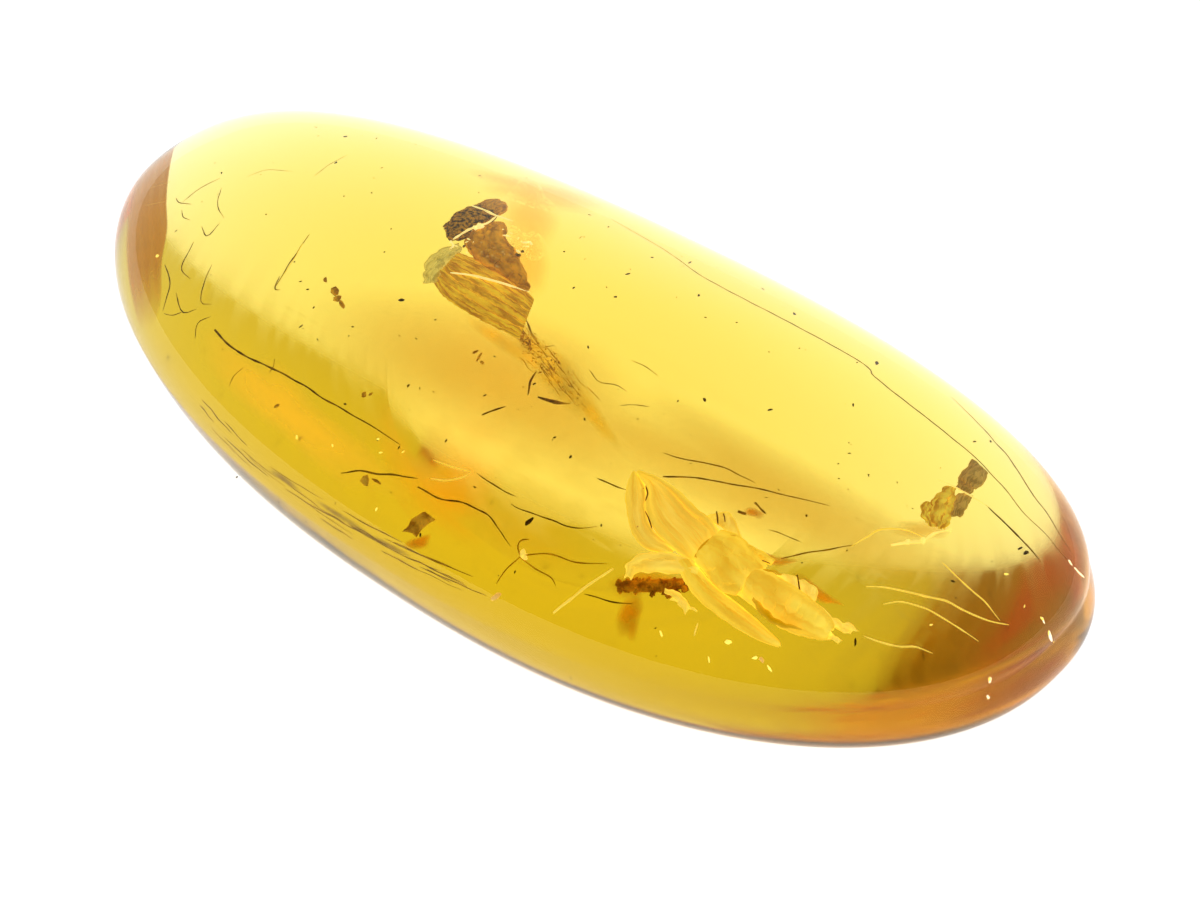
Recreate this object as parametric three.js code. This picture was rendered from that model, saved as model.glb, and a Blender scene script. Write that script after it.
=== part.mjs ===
// A polished amber pebble lying on its own flat underside, as a three.js scene graph.
// Millimetres, +Z up. The origin is the middle of the bounding box at the level of the underside.
// X runs along the stone and Y across it.
//
// The stone is a plan outline carried through a side profile. The outline is a rounded oval, a
// superellipse that widens towards +X and is bowed sideways like a bean. The profile is a low dome
// above the stone's waist and a squarer belly below it, whose deepest point lies a little off the
// middle. The belly is cut off flat where the stone rests.
import * as THREE from "three";
import { mergeVertices } from "three/addons/utils/BufferGeometryUtils.js";

// Plan outline
const HALF_LENGTH = 16.0;
const HALF_WIDTH = 7.38;
const OUTLINE_POWER = 2.29; // 2 is an ellipse, more is squarer
const TAPER = 0.086; // extra width at the +X end, as a share of the half width
const BOW = 0.2; // sideways bow, as a share of the half width

// Side profile
const THICKNESS = 7.5;
const WAIST_HEIGHT = 3.35;
const DOME_POWERS = { plan: 2.0, height: 2.0 };
const BELLY_POWERS = { plan: 2.5, height: 2.8 };
const BELLY_CUT = 0.12; // how far above the belly's deepest point the resting face is cut
const BELLY_SHIFT = new THREE.Vector2(1.4, 0.5); // the deepest point's offset from the middle

// Mesh fineness
const OUTLINE_STEPS = 120;
const DOME_STEPS = 14;
const BELLY_STEPS = 12;

const AMBER = { color: 0xe2a52b, roughness: 0.06, metalness: 0.0 };

// A number raised to a power, with its sign kept.
function signedPower(value, power) {
  return Math.sign(value) * Math.abs(value) ** power;
}

// The point of the plan outline at an angle about the stone's middle.
function outlinePoint(angle) {
  const along = Math.cos(angle);
  const across = Math.sin(angle);
  const power = 2 / OUTLINE_POWER;
  const halfWidth = HALF_WIDTH * (1 + TAPER * along);
  const bow = BOW * HALF_WIDTH * (along ** 2 - 0.5);
  return new THREE.Vector2(
    HALF_LENGTH * signedPower(along, power),
    halfWidth * signedPower(across, power) + bow,
  );
}

// The plan scale at a share of a half's depth, on the curve scale^plan + share^height = 1.
function planScale(share, powers) {
  return (1 - share ** powers.height) ** (1 / powers.plan);
}

// How far down the belly a height is: 0 at the waist and above, 1 at the uncut deepest point.
function bellyShare(height) {
  return Math.max(WAIST_HEIGHT - height, 0) / (WAIST_HEIGHT + BELLY_CUT);
}

// The side profile from the middle of the resting face, out to the waist and up to the dome's top,
// as points of plan scale and height. The steps are closest where the profile turns fastest.
function sideProfile() {
  const points = [new THREE.Vector2(0, 0)];
  for (let step = 0; step < BELLY_STEPS; step += 1) {
    const height = WAIST_HEIGHT * (1 - Math.cos((step / BELLY_STEPS) * (Math.PI / 2)));
    points.push(new THREE.Vector2(planScale(bellyShare(height), BELLY_POWERS), height));
  }
  const domeHeight = THICKNESS - WAIST_HEIGHT;
  for (let step = 0; step < DOME_STEPS; step += 1) {
    const share = Math.sin((step / DOME_STEPS) * (Math.PI / 2));
    points.push(new THREE.Vector2(planScale(share, DOME_POWERS), WAIST_HEIGHT + domeHeight * share));
  }
  points.push(new THREE.Vector2(0, THICKNESS));
  return points;
}

// The stone: the side profile turned about +Z, each turned circle stretched to the outline and the
// belly's circles moved towards its deepest point.
function stoneGeometry() {
  const turned = new THREE.LatheGeometry(sideProfile(), OUTLINE_STEPS);
  turned.rotateX(Math.PI / 2);
  turned.deleteAttribute("normal");
  turned.deleteAttribute("uv");
  const position = turned.getAttribute("position");
  for (let index = 0; index < position.count; index += 1) {
    const x = position.getX(index);
    const y = position.getY(index);
    const place = outlinePoint(Math.atan2(y, x)).multiplyScalar(Math.hypot(x, y));
    place.addScaledVector(BELLY_SHIFT, bellyShare(position.getZ(index)));
    position.setXY(index, place.x, place.y);
  }
  const stone = mergeVertices(turned, 1e-4);
  stone.computeBoundingBox();
  const middle = stone.boundingBox.getCenter(new THREE.Vector3());
  stone.translate(-middle.x, -middle.y, 0);
  stone.computeVertexNormals();
  return stone;
}

const amberStone = new THREE.Mesh(stoneGeometry(), new THREE.MeshStandardMaterial(AMBER));
amberStone.name = "amber_stone";

const pebble = new THREE.Group();
pebble.add(amberStone);

export default pebble;
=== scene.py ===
"""Insect in amber: the looks of a polished amber pebble and of all that is sealed in it.

The stone lies on its flat underside. Inside it are a pale folded insect, a bud scale, a trail of bark
dust, a scrap of bark, plant hairs and specks. Everything is worked out in millimetres and put into the
meshes in metres. Places inside the stone are read on a plan level part way up, see `settle`.
"""

import logging
import math
from dataclasses import dataclass, replace
from enum import Enum
from typing import Any, Sequence

import bmesh
import bpy
import numpy as np
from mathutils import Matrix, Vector


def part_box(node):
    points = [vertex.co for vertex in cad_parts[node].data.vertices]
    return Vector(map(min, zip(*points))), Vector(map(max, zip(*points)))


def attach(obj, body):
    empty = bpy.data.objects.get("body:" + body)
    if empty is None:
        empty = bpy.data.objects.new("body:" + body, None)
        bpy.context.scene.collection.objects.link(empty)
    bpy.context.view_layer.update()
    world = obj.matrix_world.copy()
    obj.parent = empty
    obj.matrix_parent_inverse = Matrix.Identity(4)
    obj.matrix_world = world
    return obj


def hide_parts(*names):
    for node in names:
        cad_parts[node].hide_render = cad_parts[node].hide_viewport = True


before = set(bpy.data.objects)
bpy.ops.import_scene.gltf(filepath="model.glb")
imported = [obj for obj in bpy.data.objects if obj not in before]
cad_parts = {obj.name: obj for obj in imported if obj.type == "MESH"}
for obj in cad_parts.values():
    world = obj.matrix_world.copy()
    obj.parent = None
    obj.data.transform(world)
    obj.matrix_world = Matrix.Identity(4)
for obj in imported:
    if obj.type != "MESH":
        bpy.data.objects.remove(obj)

LOG = logging.getLogger("insect_in_amber")

Array = np.ndarray
Plan = Sequence[tuple[float, float]]
Colour = tuple[float, float, float]

MM = 0.001
BODY = "root"

PLAN_LEVEL = 4.5  # mm above the seat, where the plan of the inclusions is read
PLAN_LEAN = (-0.37, 0.43)  # how far a place on the plan moves for each mm it lies deeper
MERGE_GAP = 2e-8  # metres; points closer than this are one point


class Slot(Enum):
    """The record's material slots."""

    AMBER = "amber"
    INSECT = "insect"
    BARK = "bark"
    HAIR = "hair"
    BUBBLE = "bubble"


# ---------------------------------------------------------------------------------------------
# Shapes as arrays
# ---------------------------------------------------------------------------------------------


@dataclass
class Skin:
    """A mesh in the making, in millimetres.

    Attributes:
        points: one row of x, y, z for each point.
        faces: arrays of triangles or quads, as point numbers.
        across: share across the shape for each point, 0 to 1.
        along: share along the shape for each point, 0 to 1.
        tone: a free share for each point that the finish may use, 0 to 1.
    """

    points: Array
    faces: list[Array]
    across: Array
    along: Array
    tone: Array


def join(skins: Sequence[Skin]) -> Skin:
    """Puts several skins into one.

    Args:
        skins: the skins to join.

    Returns:
        One skin, each part's point numbers raised by the points before it.
    """
    starts = np.cumsum([0] + [len(skin.points) for skin in skins[:-1]])
    faces = [part + start for skin, start in zip(skins, starts) for part in skin.faces]
    return Skin(
        np.vstack([skin.points for skin in skins]),
        faces,
        np.concatenate([skin.across for skin in skins]),
        np.concatenate([skin.along for skin in skins]),
        np.concatenate([skin.tone for skin in skins]),
    )


def grid_faces(rows: int, columns: int, ring: bool) -> Array:
    """Quads between the points of a grid.

    Args:
        rows: how many rows of points.
        columns: how many points in each row.
        ring: whether each row closes on itself.

    Returns:
        The quads; each joins a point, its neighbour in the row and the two beside them in the next row.
    """
    last = columns if ring else columns - 1
    here = np.arange(rows - 1)[:, None] * columns + np.arange(last)[None, :]
    beside = np.arange(rows - 1)[:, None] * columns + (np.arange(last)[None, :] + 1) % columns
    return np.stack([here, beside, beside + columns, here + columns], axis=-1).reshape(-1, 4)


def unit(vectors: Array) -> Array:
    """Vectors scaled to a length of one."""
    return vectors / np.maximum(np.linalg.norm(vectors, axis=-1, keepdims=True), 1e-12)


def spline(route: Array, per_span: int = 12) -> Array:
    """A smooth curve through the points of a route.

    Each span is the cubic through its two ends whose slope at each end is half the chord between that
    end's neighbours (Catmull-Rom).

    Args:
        route: the points, one a row.
        per_span: how many points each span gets.

    Returns:
        The curve's points.
    """
    ends = np.vstack([2 * route[0] - route[1], route, 2 * route[-1] - route[-2]])
    before, here, there, after = (ends[i : len(ends) - 3 + i][:, None] for i in range(4))
    t = np.linspace(0, 1, per_span, endpoint=False)[None, :, None]
    curve = here + 0.5 * t * (there - before)
    curve = curve + 0.5 * t**2 * (2 * before - 5 * here + 4 * there - after)
    curve = curve + 0.5 * t**3 * (3 * here - before - 3 * there + after)
    return np.vstack([curve.reshape(-1, route.shape[1]), route[-1:]])


def even_steps(route: Array, count: int) -> Array:
    """A smooth curve through a route, as points at even steps of length.

    Args:
        route: the points of the route, one a row.
        count: how many points to give back.

    Returns:
        The curve's points.
    """
    curve = spline(route)
    length = np.concatenate([[0.0], np.cumsum(np.linalg.norm(np.diff(curve, axis=0), axis=1))])
    wanted = np.linspace(0, length[-1], count)
    return np.stack([np.interp(wanted, length, axis) for axis in curve.T], axis=-1)


def ripple(points: Array, wavelength: float, seed: int, waves: int = 7) -> Array:
    """Smooth seeded unevenness: the mean of sines whose wave directions and phases are random.

    Args:
        points: where to read it, one place a row (any number of coordinates).
        wavelength: the middle wavelength, in the units of the places.
        seed: the seed of the random draws.
        waves: how many sines are added.

    Returns:
        A value for each place, mostly between -1 and 1.
    """
    rng = np.random.default_rng(seed)
    directions = unit(rng.normal(size=(waves, points.shape[-1])))
    numbers = 2 * np.pi / (wavelength * rng.uniform(0.6, 1.6, waves))
    phases = rng.uniform(0, 2 * np.pi, waves)
    return np.sin(points @ (directions * numbers[:, None]).T + phases).mean(axis=-1) * 1.8


def settle(places: Array) -> Array:
    """Moves places from the plan to where they lie in the stone.

    The plan is read at one level through the polished dome, along one slanting line of sight. So a
    place that lies deeper than the plan level moves by the depth times the lean.

    Args:
        places: rows of x and y on the plan and the true height z, in millimetres.

    Returns:
        Rows of true x, y, z in the stone's frame, in millimetres.
    """
    deeper = (PLAN_LEVEL - places[..., 2:3]) * np.array(PLAN_LEAN)
    return np.concatenate([places[..., :2] + deeper, places[..., 2:3]], axis=-1)


def on_plan(route: Plan, *heights: float) -> Array:
    """A route of plan points with heights, which are spread evenly over its points.

    Args:
        route: the points on the plan.
        heights: two or more heights; between them the height runs straight.

    Returns:
        Rows of x, y on the plan and z.
    """
    flat = np.array(route, float)
    share = np.linspace(0, 1, len(flat))
    return np.column_stack([flat, np.interp(share, np.linspace(0, 1, len(heights)), heights)])


def sink(skin: Skin, depth: float) -> Skin:
    """The same skin, moved deeper along the line of sight of the plan, so that its plan stays."""
    skin.points = skin.points + depth * np.array([PLAN_LEAN[0], PLAN_LEAN[1], -1.0])
    return skin


def tube(
    line: Array,
    radius: Array,
    sides: int = 6,
    flatten: float = 1.0,
    tone: float = 0.5,
) -> Skin:
    """A closed tube: a ring of points carried along a line.

    A ring's point is the line's point plus the radius times (cosine of the angle times the side vector
    plus sine of the angle times the up vector); the ends close on the line's first and last points.

    Args:
        line: the centre line's points.
        radius: the radius at each of them.
        sides: how many points a ring has.
        flatten: how far the tube is squeezed in its up direction.
        tone: the tone of all its points.

    Returns:
        The tube's skin.
    """
    ahead = unit(np.gradient(line, axis=0))
    reference = np.eye(3)[np.argmin(np.abs(ahead).mean(axis=0))]
    side = unit(np.cross(ahead, reference))
    up = np.cross(side, ahead)
    angle = np.linspace(0, 2 * np.pi, sides, endpoint=False)[None, :, None]
    spread = np.cos(angle) * side[:, None] + flatten * np.sin(angle) * up[:, None]
    rings = line[:, None] + radius[:, None, None] * spread
    rows = len(line)
    points = np.vstack([rings.reshape(-1, 3), line[:1], line[-1:]])
    turn = np.arange(sides)
    first, last = rows * sides, rows * sides + 1
    cap = np.stack([np.full(sides, first), (turn + 1) % sides, turn], axis=-1)
    end = (rows - 1) * sides
    cup = np.stack([np.full(sides, last), end + turn, end + (turn + 1) % sides], axis=-1)
    along = np.concatenate([np.repeat(np.linspace(0, 1, rows), sides), [0.0, 1.0]])
    across = np.concatenate([np.tile(turn / sides, rows), [0.5, 0.5]])
    return Skin(points, [grid_faces(rows, sides, True), cap, cup], across, along, 0 * along + tone)


def shell(surface: Array, half_thickness: Array, across: Array, along: Array, tone: Array) -> Skin:
    """A closed thin shell about a grid of points.

    Each row becomes a ring: its points raised by half the thickness, then the same points lowered by
    it, in reverse. The first and last rows are closed by quads between the two layers.

    Args:
        surface: the middle surface, rows by columns by 3.
        half_thickness: rows by columns.
        across: share across for each point, rows by columns.
        along: share along for each point, rows by columns.
        tone: tone for each point, rows by columns.

    Returns:
        The shell's skin.
    """
    rows, columns = half_thickness.shape
    slope_along = np.gradient(surface, axis=0)
    slope_across = np.gradient(surface, axis=1)
    normal = np.cross(slope_across, slope_along)
    normal = unit(normal + np.array([0.0, 0.0, 1e-9]))
    lift = normal * half_thickness[..., None]
    rings = np.concatenate([surface + lift, (surface - lift)[:, ::-1]], axis=1)
    step = np.arange(columns - 1)
    width = 2 * columns
    front = np.stack([step, width - 1 - step, width - 2 - step, step + 1], axis=-1)
    back = front[:, ::-1] + (rows - 1) * width
    both = [np.concatenate([share, share[:, ::-1]], axis=1).ravel() for share in (across, along, tone)]
    faces = [grid_faces(rows, width, True), front, back]
    return Skin(rings.reshape(-1, 3), faces, both[0], both[1], both[2])


ICO_T = (1 + math.sqrt(5)) / 2
ICO_POINTS = unit(
    np.array(
        [[a, b * ICO_T, 0.0] for a in (-1, 1) for b in (-1, 1)]
        + [[0.0, a, b * ICO_T] for a in (-1, 1) for b in (-1, 1)]
        + [[b * ICO_T, 0.0, a] for a in (-1, 1) for b in (-1, 1)]
    )
)


def ico_faces() -> Array:
    """The 20 triangles of an icosahedron: every three corners that are all nearest neighbours."""
    gap = np.linalg.norm(ICO_POINTS[:, None] - ICO_POINTS[None, :], axis=-1)
    near = np.isclose(gap, gap[gap > 0.1].min())
    corners = np.array([(i, j, k) for i in range(12) for j in range(i) for k in range(j)
                        if near[i, j] and near[j, k] and near[i, k]])
    a, b, c = (ICO_POINTS[corners[:, i]] for i in range(3))
    outward = (np.cross(b - a, c - a) * a).sum(axis=1) > 0
    return np.where(outward[:, None], corners, corners[:, ::-1])


def grains(places: Array, sizes: Array, seed: int, squash: Colour = (1.0, 1.0, 1.0)) -> Skin:
    """Many small irregular lumps, each an icosahedron pulled out of shape and turned at random.

    Args:
        places: the middle of each lump.
        sizes: the radius of each lump.
        seed: the seed of the random draws.
        squash: how far each lump is squeezed along its own three axes.

    Returns:
        One skin with all the lumps; each has a random tone.
    """
    rng = np.random.default_rng(seed)
    count = len(places)
    turns = np.linalg.qr(rng.normal(size=(count, 3, 3)))[0]
    pull = rng.uniform(0.6, 1.25, (count, 12, 1))
    lumps = ICO_POINTS[None] * pull * np.array(squash) * rng.uniform(0.7, 1.3, (count, 1, 3))
    lumps = np.einsum("nij,nkj->nik", lumps, turns) * np.asarray(sizes)[:, None, None]
    points = (lumps + places[:, None]).reshape(-1, 3)
    faces = (ico_faces()[None] + 12 * np.arange(count)[:, None, None]).reshape(-1, 3)
    tone = np.repeat(rng.uniform(0, 1, count), 12)
    return Skin(points, [faces], 0 * tone + 0.5, 0 * tone + 0.5, tone)


def make_piece(name: str, skin: Skin, material: bpy.types.Material) -> bpy.types.Object:
    """Turns a skin into a piece that rides on the stone.

    Args:
        name: the piece's name.
        skin: its points and faces, in millimetres.
        material: its finish.

    Returns:
        The new object, at the origin, with its place in its mesh.
    """
    mesh = bpy.data.meshes.new(name)
    faces = [face for part in skin.faces for face in part.tolist()]
    mesh.from_pydata((skin.points * MM).tolist(), [], faces)
    for label, values in (("across", skin.across), ("along", skin.along), ("tone", skin.tone)):
        layer = mesh.attributes.new(label, "FLOAT", "POINT")
        layer.data.foreach_set("value", np.ascontiguousarray(values, dtype=np.float32))
    work = bmesh.new()
    work.from_mesh(mesh)
    bmesh.ops.remove_doubles(work, verts=work.verts, dist=MERGE_GAP)
    bmesh.ops.recalc_face_normals(work, faces=work.faces)
    work.to_mesh(mesh)
    work.free()
    mesh.shade_smooth()
    mesh.materials.append(material)
    piece = bpy.data.objects.new(name, mesh)
    bpy.context.scene.collection.objects.link(piece)
    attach(piece, BODY)
    LOG.info("%s: %d points, %d faces", name, len(mesh.vertices), len(mesh.polygons))
    return piece


# ---------------------------------------------------------------------------------------------
# Finishes
# ---------------------------------------------------------------------------------------------


class NodeBench:
    """Adds and joins the nodes of one tree."""

    def __init__(self, tree: bpy.types.NodeTree) -> None:
        """Takes the tree to work on."""
        self.tree = tree

    def add(self, kind: str, inputs: dict[Any, Any] | None = None, **settings: Any) -> bpy.types.Node:
        """Adds a node.

        Args:
            kind: the node's type.
            inputs: what each input is fed with, a socket or a constant.
            settings: the node's own properties.

        Returns:
            The node.
        """
        node = self.tree.nodes.new(kind)
        for label, value in settings.items():
            setattr(node, label, value)
        for label, value in (inputs or {}).items():
            self.feed(node.inputs[label], value)
        return node

    def feed(self, target: bpy.types.NodeSocket, value: Any) -> None:
        """Links a socket to an input, or sets a constant there."""
        if isinstance(value, bpy.types.NodeSocket):
            self.tree.links.new(value, target)
        else:
            target.default_value = value

    def share(self, label: str) -> bpy.types.NodeSocket:
        """The mesh's own value of that name: across, along or tone."""
        return self.add("ShaderNodeAttribute", attribute_name=label).outputs["Fac"]

    def place(self) -> bpy.types.NodeSocket:
        """Object coordinates, in metres."""
        return self.add("ShaderNodeTexCoord").outputs["Object"]

    def maths(self, operation: str, first: Any, second: Any = 0.0) -> bpy.types.NodeSocket:
        """Two numbers worked into one."""
        return self.add("ShaderNodeMath", {0: first, 1: second}, operation=operation).outputs[0]

    def ramp(self, factor: Any, low: float, high: float) -> bpy.types.NodeSocket:
        """A smooth step from 0 at low to 1 at high."""
        inputs = {"Value": factor, "From Min": low, "From Max": high}
        return self.add("ShaderNodeMapRange", inputs, interpolation_type="SMOOTHSTEP").outputs["Result"]

    def blend(self, factor: Any, first: Any, second: Any) -> bpy.types.NodeSocket:
        """Two colours mixed by a factor."""
        node = self.add("ShaderNodeMix", {"Factor": factor}, data_type="RGBA")
        for socket, value in zip([s for s in node.inputs if s.type == "RGBA"], (first, second)):
            self.feed(socket, (*value, 1.0) if isinstance(value, tuple) else value)
        return next(s for s in node.outputs if s.type == "RGBA")

    def group(self, tree: bpy.types.NodeTree, inputs: dict[str, Any]) -> bpy.types.Node:
        """Places a shared group, fed with its own values."""
        return self.add("ShaderNodeGroup", inputs, node_tree=tree)


def new_group(name: str, inputs: dict[str, tuple[str, Any]], outputs: Sequence[str]) -> NodeBench:
    """Starts a shared node group.

    Args:
        name: the group's name.
        inputs: for each input, its socket type and first value.
        outputs: the names of the number outputs.

    Returns:
        A bench for the group's tree.
    """
    tree = bpy.data.node_groups.new(name, "ShaderNodeTree")
    for label, (kind, value) in inputs.items():
        socket = tree.interface.new_socket(label, in_out="INPUT", socket_type=kind)
        if value is not None:
            socket.default_value = value
    for label in outputs:
        tree.interface.new_socket(label, in_out="OUTPUT", socket_type="NodeSocketFloat")
    return NodeBench(tree)


class SharedEffects:
    """The effects that several finishes use, each a node group built once."""

    def __init__(self) -> None:
        """Builds the groups."""
        self.grain = self._grain()
        self.fibres = self._fibres()

    @staticmethod
    def _grain() -> bpy.types.NodeTree:
        """Mottling: a coarse noise with a finer one over it; the mask is soft, the height is both.

        Returns:
            The group's tree.
        """
        inputs = {"Vector": ("NodeSocketVector", None), "Scale": ("NodeSocketFloat", 1000.0)}
        bench = new_group("grain", inputs, ("Mask", "Height"))
        entry = bench.add("NodeGroupInput")
        vector, scale = entry.outputs["Vector"], entry.outputs["Scale"]
        coarse = bench.add("ShaderNodeTexNoise", {"Vector": vector, "Scale": scale, "Detail": 3.0})
        finer = bench.maths("MULTIPLY", scale, 4.3)
        fine = bench.add("ShaderNodeTexNoise", {"Vector": vector, "Scale": finer, "Detail": 4.0})
        mask = bench.ramp(coarse.outputs["Fac"], 0.35, 0.65)
        half = bench.maths("MULTIPLY", fine.outputs["Fac"], 0.5)
        height = bench.maths("ADD", coarse.outputs["Fac"], half)
        bench.add("NodeGroupOutput", {"Mask": mask, "Height": height})
        return bench.tree

    @staticmethod
    def _fibres() -> bpy.types.NodeTree:
        """Lines along a piece: noise that is stretched along it and fine across it.

        Returns:
            The group's tree.
        """
        inputs = {
            "Across": ("NodeSocketFloat", 0.0),
            "Along": ("NodeSocketFloat", 0.0),
            "Lines": ("NodeSocketFloat", 20.0),
            "Waver": ("NodeSocketFloat", 2.0),
        }
        bench = new_group("fibres", inputs, ("Mask", "Height"))
        entry = bench.add("NodeGroupInput")
        x = bench.maths("MULTIPLY", entry.outputs["Across"], entry.outputs["Lines"])
        y = bench.maths("MULTIPLY", entry.outputs["Along"], entry.outputs["Waver"])
        vector = bench.add("ShaderNodeCombineXYZ", {"X": x, "Y": y}).outputs[0]
        lines = bench.add("ShaderNodeTexNoise", {"Vector": vector, "Scale": 1.0, "Detail": 3.0})
        mask = bench.ramp(lines.outputs["Fac"], 0.38, 0.62)
        bench.add("NodeGroupOutput", {"Mask": mask, "Height": lines.outputs["Fac"]})
        return bench.tree


def new_material(name: str) -> tuple[bpy.types.Material, NodeBench, bpy.types.Node]:
    """A new material with its bench and its Principled shader; its glow isn't sampled as a lamp."""
    material = bpy.data.materials.new(name)
    material.use_nodes = True
    material.cycles.emission_sampling = "NONE"
    return material, NodeBench(material.node_tree), material.node_tree.nodes["Principled BSDF"]


@dataclass(frozen=True)
class AmberFinish:
    """Clear golden resin, polished.

    Attributes:
        ior: how strongly it bends light.
        roughness: of the polish.
        scratched: the roughness in a scratch.
        edge_height: how high above the seat the well polished top begins, mm.
        belly_roughness: what is added to the roughness below that.
        edge_roughness: what is added there in its dull streaks.
        absorption: how much red, green and blue light a millimetre takes, as a natural logarithm.
        sheen: the tint of what its surface reflects.
    """

    ior: float = 1.54
    roughness: float = 0.015
    scratched: float = 0.1
    edge_height: float = 3.9
    belly_roughness: float = 0.06
    edge_roughness: float = 0.16
    absorption: Colour = (0.0105, 0.0368, 0.262)
    sheen: Colour = (0.9, 0.75, 0.3)

    def wear(self, bench: NodeBench, effects: SharedEffects) -> bpy.types.NodeSocket:
        """The roughness over the surface: the polish, with scratches on top and a dull band below the edge.

        Args:
            bench: the material's bench.
            effects: the shared node groups.

        Returns:
            The roughness.
        """
        lines = bench.add(
            "ShaderNodeMapping",
            {"Vector": bench.place(), "Rotation": (0.0, 0.0, 0.6), "Scale": (300.0, 5200.0, 5200.0)},
        )
        scratch = bench.add("ShaderNodeTexNoise", {"Vector": lines.outputs[0], "Scale": 1.0, "Detail": 2.0})
        worn = bench.group(effects.grain, {"Vector": bench.place(), "Scale": 160.0})
        mask = bench.maths("MULTIPLY", bench.ramp(scratch.outputs["Fac"], 0.66, 0.72), worn.outputs["Mask"])
        top = bench.maths("MULTIPLY_ADD", mask, self.scratched - self.roughness)
        top.node.inputs[2].default_value = self.roughness
        height = bench.add("ShaderNodeSeparateXYZ", {"Vector": bench.place()}).outputs["Z"]
        below = bench.ramp(height, (self.edge_height + 0.25) * MM, (self.edge_height - 0.25) * MM)
        turned = {
            "Across": bench.share("along"), "Along": bench.share("across"), "Lines": 90.0, "Waver": 14.0
        }
        streaks = bench.group(effects.fibres, turned)
        band = bench.maths(
            "MULTIPLY_ADD", streaks.outputs["Mask"], self.edge_roughness - self.belly_roughness
        )
        band.node.inputs[2].default_value = self.belly_roughness
        extra = bench.maths("MULTIPLY", band, below)
        return bench.maths("ADD", top, extra)

    def make(self, effects: SharedEffects) -> bpy.types.Material:
        """Builds the material.

        Args:
            effects: the shared node groups.

        Returns:
            The material.
        """
        material, bench, shader = new_material("amber_polished")
        shader.inputs["Base Color"].default_value = (1.0, 1.0, 1.0, 1.0)
        shader.inputs["Transmission Weight"].default_value = 1.0
        shader.inputs["IOR"].default_value = self.ior
        shader.inputs["Specular Tint"].default_value = (*self.sheen, 1.0)
        bench.feed(shader.inputs["Roughness"], self.wear(bench, effects))
        strongest = max(self.absorption)
        colour = [1 - part / strongest for part in self.absorption]
        inside = bench.add(
            "ShaderNodeVolumeAbsorption", {"Color": (*colour, 1.0), "Density": strongest / MM}
        )
        bench.feed(material.node_tree.nodes["Material Output"].inputs["Volume"], inside.outputs[0])
        return material


@dataclass(frozen=True)
class PaperFinish:
    """Pale papery insect skin with veins, lit through: its glow is painted light, and its darker middle and
    broad folds are painted shade.

    Attributes:
        name: the material's name.
        pale: its main colour.
        grey: the colour that its middle and its blotches turn to; in the middle it is partly the grey of a
            thin membrane and partly painted shade.
        dark: the colour of its vein lines and of the painted shade in its broad folds.
        middle_shade: how far its middle turns grey, 0 to 1: painted shade that gives it shape, and the grey
            of a thin membrane.
        glow: its painted glow, the colour given out as light in place of the light it passes on from behind.
        lines: how many vein lines run along it.
        solid: how far it hides what is behind it, 0 to 1.
        fold_shade: how dark the painted shade in its broad soft folds is, 0 to 1.
    """

    name: str
    pale: Colour = (1.0, 0.75, 0.13)
    grey: Colour = (0.90, 0.66, 0.15)
    dark: Colour = (0.68, 0.35, 0.0)
    middle_shade: float = 0.5
    glow: float = 0.25
    lines: float = 22.0
    solid: float = 1.0
    fold_shade: float = 0.0

    MOTTLE = 0.25  # how far its blotches turn grey
    VEINS = 0.26  # how far its vein lines turn dark
    ROUGHNESS = 0.55
    BUMP = 0.04  # mm

    def make(self, effects: SharedEffects) -> bpy.types.Material:
        """Builds the material.

        Args:
            effects: the shared node groups.

        Returns:
            The material.
        """
        material, bench, shader = new_material(self.name)
        across, along = bench.share("across"), bench.share("along")
        veins = bench.group(
            effects.fibres, {"Across": across, "Along": along, "Lines": self.lines, "Waver": 2.5}
        )
        mottle = bench.group(effects.grain, {"Vector": bench.place(), "Scale": 900.0})
        # Painted shade: the middle turns towards the grey colour, which also stands for the grey of a thin
        # membrane.
        middle = bench.maths("MULTIPLY", bench.share("tone"), self.middle_shade)
        colour = bench.blend(middle, self.pale, self.grey)
        faint = bench.maths("MULTIPLY", mottle.outputs["Mask"], self.MOTTLE)
        colour = bench.blend(faint, colour, self.grey)
        shade = bench.maths("MULTIPLY", veins.outputs["Mask"], self.VEINS)
        colour = bench.blend(shade, colour, self.dark)
        # Painted shade: broad soft folds darkened towards the dark colour.
        broad = {"Across": across, "Along": along, "Lines": 0.22 * self.lines + 1.0, "Waver": 1.3}
        fold_shade = bench.maths("MULTIPLY", bench.group(effects.fibres, broad).outputs["Mask"], self.fold_shade)
        colour = bench.blend(fold_shade, colour, self.dark)
        bench.feed(shader.inputs["Base Color"], colour)
        # Painted glow: the colour is also given out as light, in place of the light that passes through from
        # behind.
        bench.feed(shader.inputs["Emission Color"], colour)
        shader.inputs["Emission Strength"].default_value = self.glow
        shader.inputs["Roughness"].default_value = self.ROUGHNESS
        shader.inputs["Specular IOR Level"].default_value = 0.0
        bump = bench.add("ShaderNodeBump", {"Height": veins.outputs["Height"], "Distance": self.BUMP * MM})
        bench.feed(shader.inputs["Normal"], bump.outputs[0])
        if self.solid < 1.0:
            shader.inputs["Alpha"].default_value = self.solid
        return material


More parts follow.
